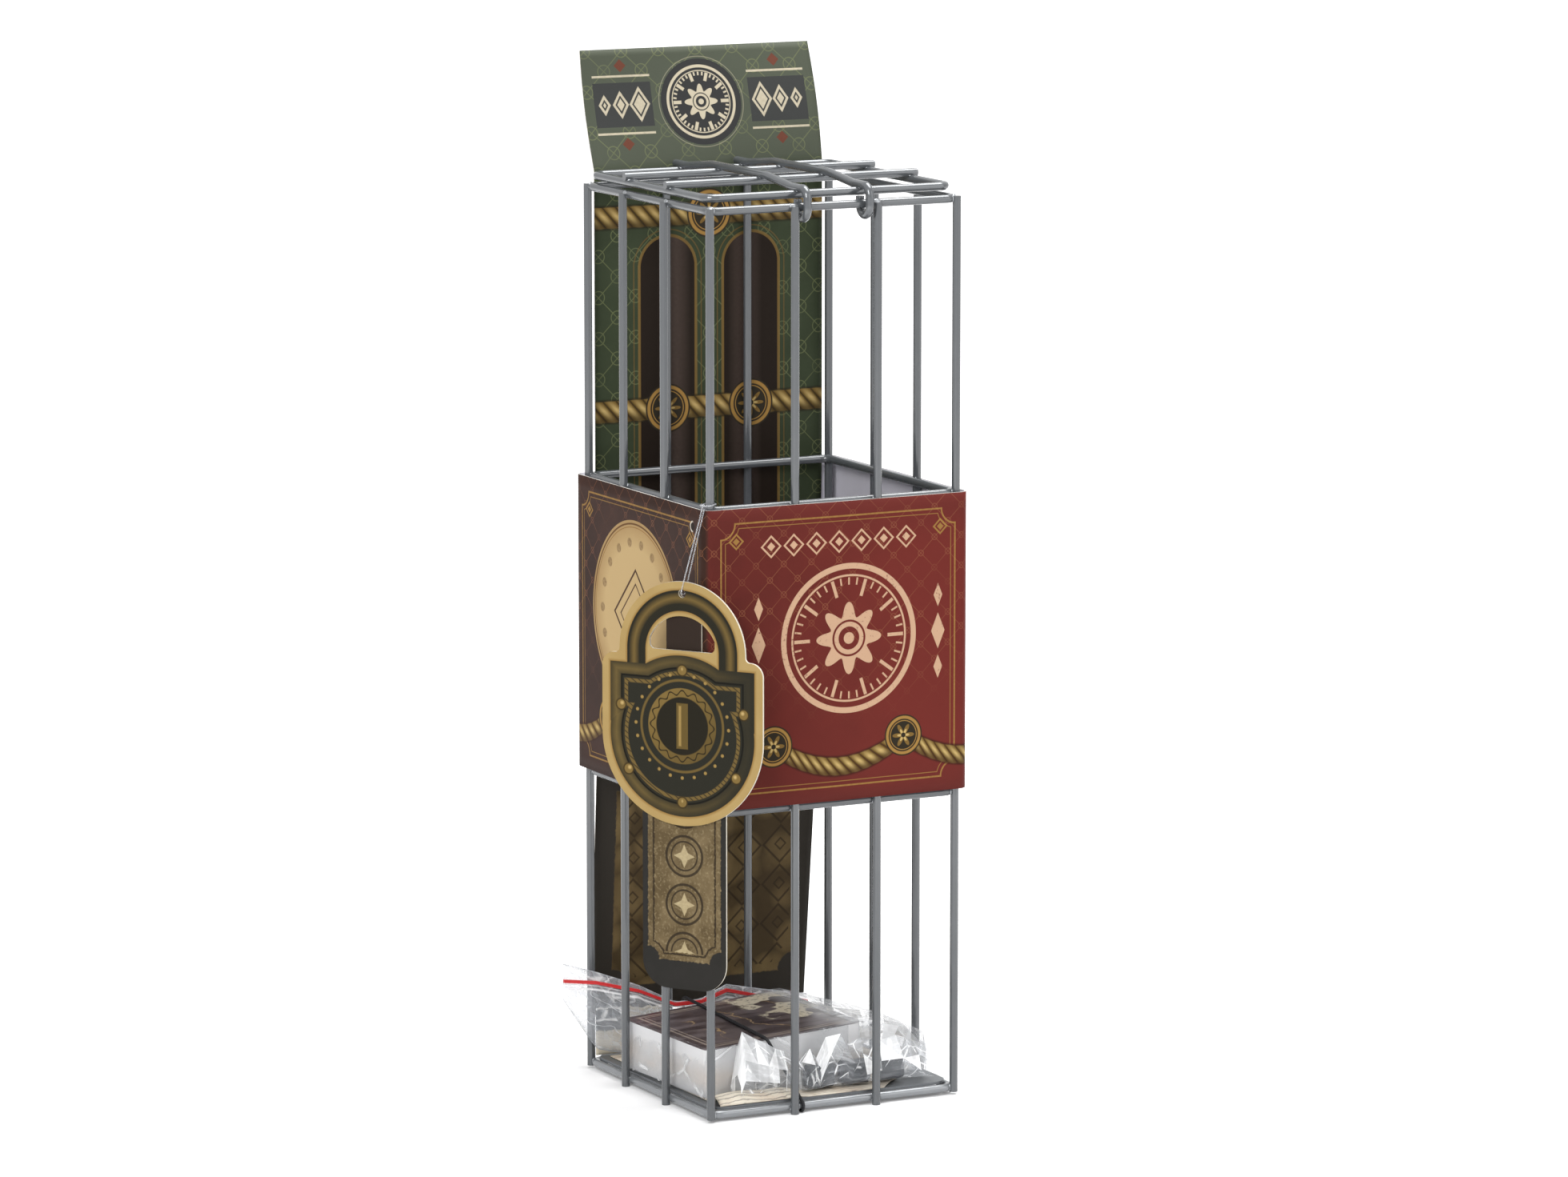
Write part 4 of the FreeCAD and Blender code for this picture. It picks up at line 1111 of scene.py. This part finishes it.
# %% Deck's top card
top = Finish("deck_print", (82, 73, 75), 0.3, gloss=0.3)
x, y, _ = top.places()
x = x - deck_corner[0]
y = y - deck_corner[1]
u = x * deck_across[0] + y * deck_across[1]
v = x * deck_backward[0] + y * deck_backward[1]
cloud = top.noise(0.07, detail=4.0)
grain = top.noise(0.5, detail=4.0)
streak = top.noise(0.13, detail=2.0, stretch=(0.4, 1.5, 1.0))
half_u = deck_width / 2
half_v = deck_depth / 2
margin = bar(u, v, half_u, half_v, half_u - 3.2, half_v - 3.2)
frame_line = margin.line(0.5).either((margin - 1.9).line(0.3))
veins = (u * 0.5 + (cloud - 0.5) * 34.0 + v * 0.2).repeat(12.0).line(0.5).ink(0.3)
pale_area = bar(u, v, 52.0, 40.0, 12.0, 20.0) + (grain - 0.5) * 8.0
blots = (top.noise(0.1, detail=1.0) - 0.46).ink(0.03) * pale_area.ink(1.5)
top.paint((52, 42, 45), (cloud - 0.46).ink(0.25) * 0.8)
# The lighter streaks are painted sheen: the gloss of the bag's film, painted onto the card.
top.paint((122, 112, 114), (streak - 0.54).ink(0.16) * 0.55)
top.paint((168, 154, 142), frame_line.ink(0.2) * (grain * 0.9 + 0.2).at_most(1.0))
top.paint((178, 150, 112), veins * bar(u, v, 36.0, 30.0, 22.0, 20.0).ink(4.0) * 0.8)
top.paint((208, 198, 176), blots)
top.paint((70, 60, 56), (grain - 0.58).ink(0.06) * blots * 0.7)
# The right end is painted pale grey along the same streaks: painted sheen of the bag's film that
# lies there.
top.paint((196, 197, 199), (u - 57.0).ink(9.0) * (streak * 0.9 + 0.1))
dress(top, "deck_top_card")
print("deck's top card", len(top.tree.nodes), "nodes")

# %% [markdown]
# The leaflet under the deck is a thin sheet that humps up before it, where it is pushed back
# from the wire. The one behind the deck is folded and stands on edge, dark on one panel. A
# simulation could lay them, but paper bends gently and one way at a time, so a formula for
# the height or the depth of each point is enough.

# %% Leaflet under the deck
leaflet = Finish("leaflet_paper", (218, 210, 194), 0.6, gloss=0.1, sheet=True)
u, v, _ = leaflet.places()
cloud = leaflet.noise(0.09, detail=4.0)
fine_lines = (v + (cloud - 0.5) * 6.0).repeat(1.7).line(0.2).ink(0.2)
leaflet.paint((182, 160, 138), (cloud - 0.54).ink(0.14) * 0.5)
leaflet.paint((120, 113, 108), fine_lines * 0.7)
# Darker grey towards the right end: painted shade in the corner there.
leaflet.paint((126, 119, 112), (u - 8.0).ink(14.0) * (cloud * 0.6 + 0.2))
leaflet_low, leaflet_high = span("leaflet_sheet")
hump_rise = 3.2
sheet_y = np.linspace(leaflet_low[1] - 2.6, leaflet_high[1], 97)[:, None]
sheet_right = np.interp(sheet_y, [sheet_y.min(), -24.0], [21.0, leaflet_high[0]])
sheet_x = leaflet_low[0] + np.linspace(0, 1, 61)[None] * (sheet_right - leaflet_low[0])
ripple = 0.9 + 0.1 * np.sin(sheet_x * 0.31)
hump_height = hump_rise * np.clip((-6.0 - sheet_x) / 14.0, 0.15, 1) * ripple
hump_front = np.clip((sheet_y - sheet_y.min()) / 6.2, 0, 1)
hump_back = np.clip((deck_corner[1] - 0.6 - sheet_y) / 3.2, 0, 1)
curl = hump_height * np.sin(np.pi / 2 * hump_front) * hump_back
sheet_points = points_of(sheet_x, sheet_y, leaflet_high[2] - 0.05 + curl)
leaflet_faces = grid_faces(*sheet_points.shape[:2])[:, ::-1]
leaflet_sheet = points_of(sheet_x, sheet_y, 0 * curl)
leaflet_piece = make_piece(
    "humped_leaflet", sheet_points, leaflet_faces, [leaflet], "cage", leaflet_sheet
)
give_thickness(leaflet_piece, 0.4)
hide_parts("leaflet_sheet")
print("leaflet humps up", round(float(curl.max()), 1), "mm")

# %% Folded leaflet
folded = Finish("folded_paper", (208, 198, 178), 0.6, gloss=0.3, sheet=True)
u, v, _ = folded.places()
cloud = folded.noise(0.3, detail=4.0)
dark_panel = bar(u, v, 3.5, 21.0, 6.5, 6.8) + (cloud - 0.5) * 2.0
folded.paint((186, 172, 146), bar(u, v, 9.5, 10.0, 2.8, 8.0).ink(0.6) * 0.8)
folded.paint((70, 72, 74), dark_panel.ink(0.5))
folded.paint((232, 231, 228), (v - 22.6 + (cloud - 0.5) * 2.6).line(0.4).ink(0.4))
paper_foot = 5.3
paper_u = np.linspace(0, 27.0, 28)[None]
paper_v = np.linspace(paper_foot, 24.4, 20)[:, None]
paper_top = 1 - 0.13 * np.clip((paper_u - 11.0) / 4.0, 0, 1) + 0.02 * np.sin(paper_u * 1.3)
paper_y = 45.6 - 0.09 * paper_u + 0.5 * np.sin(paper_u * 0.33)
paper_z = paper_foot + (paper_v - paper_foot) * paper_top
paper_points = points_of(-48.6 + paper_u, paper_y, paper_z)
paper_sheet = points_of(paper_u, paper_v, 0 * paper_z)
paper_faces = grid_faces(*paper_points.shape[:2])[:, ::-1]
paper_piece = make_piece(
    "folded_papers", paper_points, paper_faces, [folded], "cage", paper_sheet
)
give_thickness(paper_piece, 0.8)
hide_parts("leaflet_folded")
print("folded papers", len(paper_faces), "faces")

# %% [markdown]
# The loose puzzle pieces are dark moulded plastic. The elastic is a braid of fine black
# yarns over rubber, and the press strip of the zip bag is red polythene. Their solids have
# the right shapes, so they only need finishes. The yarns could be modelled, but at this size
# one slanting line, repeated as colour and as bump, is enough.

# %% Small pieces, elastic and zip strip
plastic = mottled("puzzle_plastic", (62, 65, 70), (40, 42, 46), 0.3, 0.5, 0.35)
dress(plastic, "puzzle_piece_1", "puzzle_piece_2", "puzzle_piece_3")

elastic = Finish("black_elastic", (24, 24, 26), 0.65, gloss=0.3)
x, y, z = elastic.places()
braid = (x + y + z).repeat(0.9).line(0.2).ink(0.3)
elastic.paint((46, 46, 50), braid * 0.6)
elastic.bump(braid, 0.5, 0.1)
dress(elastic, "elastic_cord")

zip_red = mottled("zip_strip_red", (206, 52, 54), (178, 38, 42), 0.4, 0.4, 0.35, gloss=0.3)
dress(zip_red, "zip_strip")
print("elastic reaches", [round(float(value), 1) for value in span("elastic_cord")[1]])

# %% [markdown]
# ## Clear bags
# Thin polythene shows by what it does to light: almost nothing where it lies flat, a white
# sheen where it turns edge on, and white glints on the folds that look to the lamp. A glass
# shader would bend light as a thick wall does, so the film is a pale cover that is nearly
# clear, and its glints are painted. A bag is a grid of points moved at random and left flat
# between them. Each facet carries a number that says how much light it throws back, and a
# facet with a high number is painted white, as a painted glint. Fine creases run along a
# Voronoi net, painted white as well.


# %% Clear film: finish
def film_finish(name, haze, crease_per_mm, fold=0.45, streak=1.0):
    """Nearly clear polythene, and how much it covers. Cover grows with the facet's number, in
    fine streaks, towards a grazing view, and on creases, where the distance to the nearest
    edge of a Voronoi net is small. Facets with a high number and the creases are painted
    white: painted glints."""
    finish = Finish(name, (206, 210, 215), 0.14, gloss=0.6, sheet=True)
    number = add_node(finish.tree, "Attribute", attribute_name="facet")
    facet = Field(finish.tree, number.outputs["Fac"])
    grazing = add_node(finish.tree, "LayerWeight", {"Blend": 0.3})
    edge_on = Field(finish.tree, grazing.outputs["Facing"])
    cloud = finish.noise(0.14, detail=3.0)
    net = finish.cells(crease_per_mm, "DISTANCE_TO_EDGE")
    crease_glints = (-net + 0.022).ink(0.024) * (cloud - 0.5).ink(0.1)
    shine = (facet - 0.66).ink(0.3)
    streaks = (finish.noise(0.5, detail=3.0, stretch=(0.35, 1.6, 1.0)) - 0.58).ink(0.14)
    # Painted glints: white on the facets that look to the lamp, and along the creases.
    finish.paint((253, 254, 255), (shine + crease_glints).at_most(1.0))
    cover = (facet * 0.8 + 0.5) * haze + shine * (cloud * 1.4 - 0.1).at_least(0.15)
    cover = cover + crease_glints * fold + streaks * (haze * streak) + edge_on * 0.16
    finish.drive("Alpha", cover.at_most(0.92).at_least(0.0))
    return finish, cover


crumple_film, _ = film_finish("crumpled_film", 0.17, 0.13, fold=0.6)
smooth_film, _ = film_finish("smooth_film", 0.11, 0.06)
still_film, _ = film_finish("still_film", 0.1, 0.045, fold=0.3, streak=0.0)
print("films", [film.material.name for film in (crumple_film, smooth_film, still_film)])

# %% Clear film: facets
lamp_way = np.array([-0.667, -0.513, 0.538])


def along_grid(points, axis):
    """How far each line of the grid lies along an axis, by the mean length of its steps."""
    steps = np.linalg.norm(np.diff(points, axis=axis), axis=-1).mean(1 - axis)
    return np.concatenate([[0.0], np.cumsum(steps)])


def film_piece(name, points, finish, seed, bias, wrap=False, sheet=None, smooth=False):
    """A grid of points as triangles, two to each cell, cut along either diagonal at random.
    Each has a random number, moved by the bias at its place in x, and multiplied by how
    squarely it looks to the lamp: the dot product of its normal and the way to the lamp."""
    rows, columns = points.shape[:2]
    cells = grid_faces(rows, columns, wrap_rows=wrap)
    draw = np.random.default_rng(seed)
    turned = draw.random(len(cells)) < 0.5
    cells = np.where(turned[:, None], np.roll(cells, 1, axis=1), cells)
    faces = np.concatenate([cells[:, [0, 1, 2]], cells[:, [0, 2, 3]]])
    if sheet is None:
        sheet = points_of(along_grid(points, 1)[None], along_grid(points, 0)[:, None], 0.0)
    piece = make_piece(name, points, faces, [finish], "cage", sheet, smooth=smooth)
    corner = points.reshape(-1, 3)[faces]
    normal = np.cross(corner[:, 1] - corner[:, 0], corner[:, 2] - corner[:, 0])
    normal = normal / np.maximum(np.linalg.norm(normal, axis=1, keepdims=True), 1e-9)
    squarely = np.clip((abs(normal @ lamp_way) - 0.25) / 0.4, 0, 1)
    shift = np.interp(corner[..., 0].mean(1), *np.array(bias).T)
    number = np.clip(draw.random(len(faces)) + shift, 0, 1) * squarely
    store = piece.data.attributes.new("facet", "FLOAT", "FACE")
    store.data.foreach_set("value", number.astype(np.float32))
    return piece


print("way to the lamp", lamp_way.tolist())

# %% [markdown]
# The bag before the deck is a loop of film round a few small pieces: up the front, over a
# ragged ridge and down the back, carried along its width. The ridge is a row of peaks and
# dips, each a fold of the film, and the ends are drawn together. A simulation could crumple
# it, but its folds would fall anywhere, and these stand where the real ones do.

# %% Crumpled bag
bag_low, bag_high = span("puzzle_bag")
bag_ridge = np.array([
    (-36.0, 15.0), (-34.2, 30.6), (-29.0, 27.6), (-24.5, 25.4), (-20.5, 23.0),
    (-17.0, 21.6), (-13.0, 18.6), (-9.7, 16.8), (-6.4, 21.8), (-3.6, 17.6),
    (-0.4, 25.2), (6.0, 25.6), (9.0, 21.6), (15.0, 23.6), (22.0, 21.4),
    (29.0, 22.4), (36.0, 19.6), (41.5, 18.6), (44.0, 12.0),
])
bag_loop = np.array([
    (0.24, 0.10), (0.14, 0.30), (0.18, 0.60), (0.45, 1.00),
    (0.78, 0.74), (0.95, 0.42), (0.92, 0.00), (0.50, 0.02),
])
calm_rows = [0, 3, 6]
ridge_x, ridge_z = bag_ridge.T
bag_front = bag_low[1]
bag_back = deck_corner[1] - 0.5 + (ridge_x - deck_corner[0]) * math.tan(deck_turn)
draw = np.random.default_rng(12)
jitter = draw.uniform(-1, 1, (3, len(bag_loop), len(ridge_x)))
jitter[:, calm_rows] *= 0.25
jitter *= np.interp(ridge_x, [-36.0, -20.0, -14.0], [0.06, 0.1, 1.0])
bag_x = np.clip(ridge_x[None] + jitter[0] * 1.5, bag_low[0], bag_high[0])
depth_share = np.clip(bag_loop[:, :1] + jitter[1] * 0.11, 0.02, 0.97)
height_share = np.clip(bag_loop[:, 1:] + jitter[2] * 0.08, 0.0, 1.0)
bag_y = bag_front + depth_share * (bag_back - bag_front)[None]
bag_z = bag_low[2] + height_share * (ridge_z - bag_low[2])[None]
# Where the bias is high, most facets that look to the lamp get painted glints.
bag_bias = [
    (-36.0, 1.0), (-21.0, 1.0), (-17.0, 0.1), (-8.0, 0.25),
    (8.0, 0.35), (14.0, 0.0), (30.0, 0.15), (44.0, 0.3),
]
bag_points = points_of(bag_x, bag_y, bag_z)
puzzle_film = film_piece("crumpled_bag", bag_points, crumple_film, 5, bag_bias, wrap=True)
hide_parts("puzzle_bag")
print("crumpled bag facets", len(puzzle_film.data.polygons))

# %% [markdown]
# The zip bag stands behind the deck, with its mouth up. Its film sways in plan, rises to the
# left and pokes out between two wires. A short table along its length gives the sway, the
# two edges and the press strip, because such lines are easy to fit point by point. Front and
# back wall are one loop, a millimetre or two apart, and a clear rib runs below the red strip.

# %% Zip bag: shape
zip_low, zip_high = span("zip_bag")
zip_table = np.array([
    (0.00, 0.95, 0.62, 0.820, 1.00), (0.12, 0.62, 0.10, 0.790, 0.90),
    (0.28, 0.28, 0.00, 0.680, 0.74), (0.42, 0.05, 0.00, 0.515, 0.54),
    (0.53, 0.05, 0.00, 0.515, 0.54), (0.64, 0.12, 0.00, 0.600, 0.66),
    (0.80, 0.25, 0.00, 0.480, 0.56), (1.00, 0.45, 0.00, 0.370, 0.45),
])
zip_steps = 40
zip_sway = 9.8
zip_back = 32.7
zip_share = np.linspace(0, 1, zip_steps)
zip_columns = [np.interp(zip_share, zip_table[:, 0], zip_table[:, k]) for k in range(1, 5)]
sway, low_share, line_share, high_share = zip_columns
zip_x = zip_low[0] + zip_share * (zip_high[0] - zip_low[0])
zip_height = zip_high[2] - zip_low[2]
zip_bottom = zip_low[2] + low_share * zip_height
zip_top = zip_low[2] + high_share * zip_height
zip_line = zip_low[2] + line_share * zip_height
wall_steps = 8
wall_shares = np.linspace(0, 1, wall_steps)
wall_shares = np.concatenate([wall_shares, wall_shares[-2:0:-1]])[:, None]
on_back = np.arange(len(wall_shares))[:, None] >= wall_steps
draw = np.random.default_rng(31)
wave = draw.uniform(0.0, 1.0, (len(wall_shares), zip_steps))
belly = np.sin(np.pi * wall_shares) * np.sin(np.pi * zip_share)[None]
zip_out = np.where(on_back, 0.8 + 1.0 * belly * wave, 0.25 * belly * wave)
zip_points = points_of(
    zip_x[None] + (wave - 0.5) * 1.2 * belly,
    (zip_back + sway * zip_sway)[None] + zip_out,
    zip_bottom[None] + wall_shares * (zip_top - zip_bottom)[None] + (wave - 0.5) * 0.6 * belly,
)
to_edge = np.minimum(wall_shares, 1 - wall_shares) * (zip_top - zip_bottom)[None]
zip_sheet = points_of(zip_points[..., 0], zip_points[..., 2] - zip_line[None], to_edge)
zip_ends = [round(float(value), 1) for value in (zip_line[0], zip_line.min())]
print("zip line falls from", zip_ends[0], "to", zip_ends[1], "mm")

# %% Zip bag: film
zip_finish, zip_cover = film_finish("zip_film", 0.42, 0.05, fold=0.15, streak=0.2)
across, above, from_edge = zip_finish.places()
sway_cloud = zip_finish.noise(0.06, detail=2.0)
rib_glints = (above + 2.7).line(0.35).ink(0.5).either((above + 1.3).line(0.12).ink(0.3))
hem = (-from_edge + 0.3).ink(0.4)
pleat_way = above * 0.7 + across * 0.4 + (sway_cloud - 0.5) * 30.0
pleat_glints = pleat_way.repeat(8.0).line(0.12).ink(0.3)
# The rib and the pleats are painted near white: painted glints along them.
zip_finish.paint((250, 251, 253), rib_glints.either(pleat_glints))
zip_finish.paint((184, 189, 196), hem * 0.7)
zip_cover = zip_cover + rib_glints * 0.45 + hem * 0.3 + pleat_glints * 0.3
zip_finish.drive("Alpha", zip_cover.at_most(0.9).at_least(0.0))
zip_bias = [(-64.0, -0.45), (34.0, -0.5)]
zip_film = film_piece(
    "zip_bag_film", zip_points, zip_finish, 8, zip_bias, wrap=True, sheet=zip_sheet, smooth=True
)
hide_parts("zip_bag")
print("zip bag facets", len(zip_film.data.polygons))

# %% [markdown]
# The deck lies in a bag of its own. The film lies on the right end of its top, leaves the
# upper edge there, sags over to the right wall of the cage and drops to the floor. It hangs
# in much the same way all along, so it is one sagging line, carried from back to front.

# %% Deck's bag: right side
floor_level = 6.2
bag_rows = np.array([27.0, 18.0, 8.0, -4.0, -15.0, -25.0, -33.0, -34.5])
on_deck = 4.0
edge_inset = 1.2
bag_sag = np.array([
    (-1.00, 0.0), (-0.55, 0.0), (-0.20, 0.0), (0.00, 0.3), (0.14, 0.2), (0.34, -1.2),
    (0.56, -2.6), (0.78, -4.4), (0.95, -6.4), (1.00, -12.0), (0.96, -20.5),
])
sag_share, sag_drop = bag_sag.T
right_wall = np.interp(bag_rows, [-34.5, -30.0, -8.0, 5.0, 27.0], [46.0, 47.6, 46.4, 43.6, 31.0])
edge_x = deck_corner[0] + deck_width * deck_across[0]
edge_x = edge_x - (bag_rows - deck_corner[1]) * math.tan(deck_turn) - edge_inset
deck_edge_z = deck_top + deck_lift
drop = np.array([1.0, 1.0, 1.0, 1.0, 1.0, 1.0, 0.96, 0.2])[:, None]
draw = np.random.default_rng(17)
loose = draw.uniform(-1, 1, (3, len(bag_rows), len(bag_sag)))
loose[:, :, :4] *= 0.1
over_top = sag_share < 0
reach = np.where(over_top[None], on_deck, (right_wall - edge_x)[:, None])
wide_x = edge_x[:, None] + sag_share[None] * reach + loose[0] * 0.9
wide_y = bag_rows[:, None] + loose[1] * 1.6
lying_z = deck_edge_z + sag_share * on_deck * deck_rise + 0.45
hanging_z = floor_level + (deck_edge_z + sag_drop[None] + loose[2] * 0.8 - floor_level) * drop
wide_z = np.maximum(np.where(over_top[None], lying_z[None], hanging_z), 6.0)
wide_points = points_of(np.minimum(wide_x, 48.6), np.clip(wide_y, -35.0, 27.5), wide_z)
wide_bias = [(18.0, -0.3), (24.0, -0.1), (48.0, 0.1)]
deck_film = film_piece("deck_bag_film", wide_points, smooth_film, 21, wide_bias)
give_thickness(deck_film, 0.1)
print("deck's bag reaches", round(float(wide_points[..., 0].max()), 1), "mm to the right")

# %% [markdown]
# The same bag comes down over the left and the front side of the deck. It lies close to them,
# so a path round those two sides in plan is enough, and it flares out a little towards the
# floor.

# %% Deck's bag: left and front sides
side_back = 54.0
side_front = 58.0
side_foot = 6.1
side_corners = [
    deck_corner + side_back * deck_backward,
    deck_corner,
    deck_corner + side_front * deck_across,
]
side_path, _ = evenly(bent_path(side_corners, [1.5]), 3.4)
along_front = (side_path - deck_corner) @ deck_across
fall = np.linspace(0, 1, 7)[:, None]
flare = np.interp(along_front, [-1.0, 0.0, 6.0, 9.0], [1.2, 1.8, 1.8, 0.05])
draw = np.random.default_rng(23)
slack = draw.uniform(0, 1, (len(fall), len(side_path)))
side_out = 0.2 + (fall ** 1.5 + 0.35 * slack * np.sin(np.pi * fall)) * flare[None]
side_top = deck_top + 0.15 + np.clip(along_front, 0, deck_width) * deck_rise
side_flat = side_path[None] - side_out[..., None] * left_of(side_path)[None]
side_z = side_top[None] + fall * (side_foot - side_top)[None]
side_points = points_of(side_flat[..., 0], side_flat[..., 1], side_z)
side_bias = [(-50.0, -0.6), (20.0, -0.6)]
side_film = film_piece("deck_bag_side", side_points, still_film, 27, side_bias, smooth=True)
give_thickness(side_film, 0.1)
print("deck's bag comes out", round(float(side_out.max()), 1), "mm at the floor")

# %% [markdown]
# ## End
# Film and card may stand a little proud of their solids.
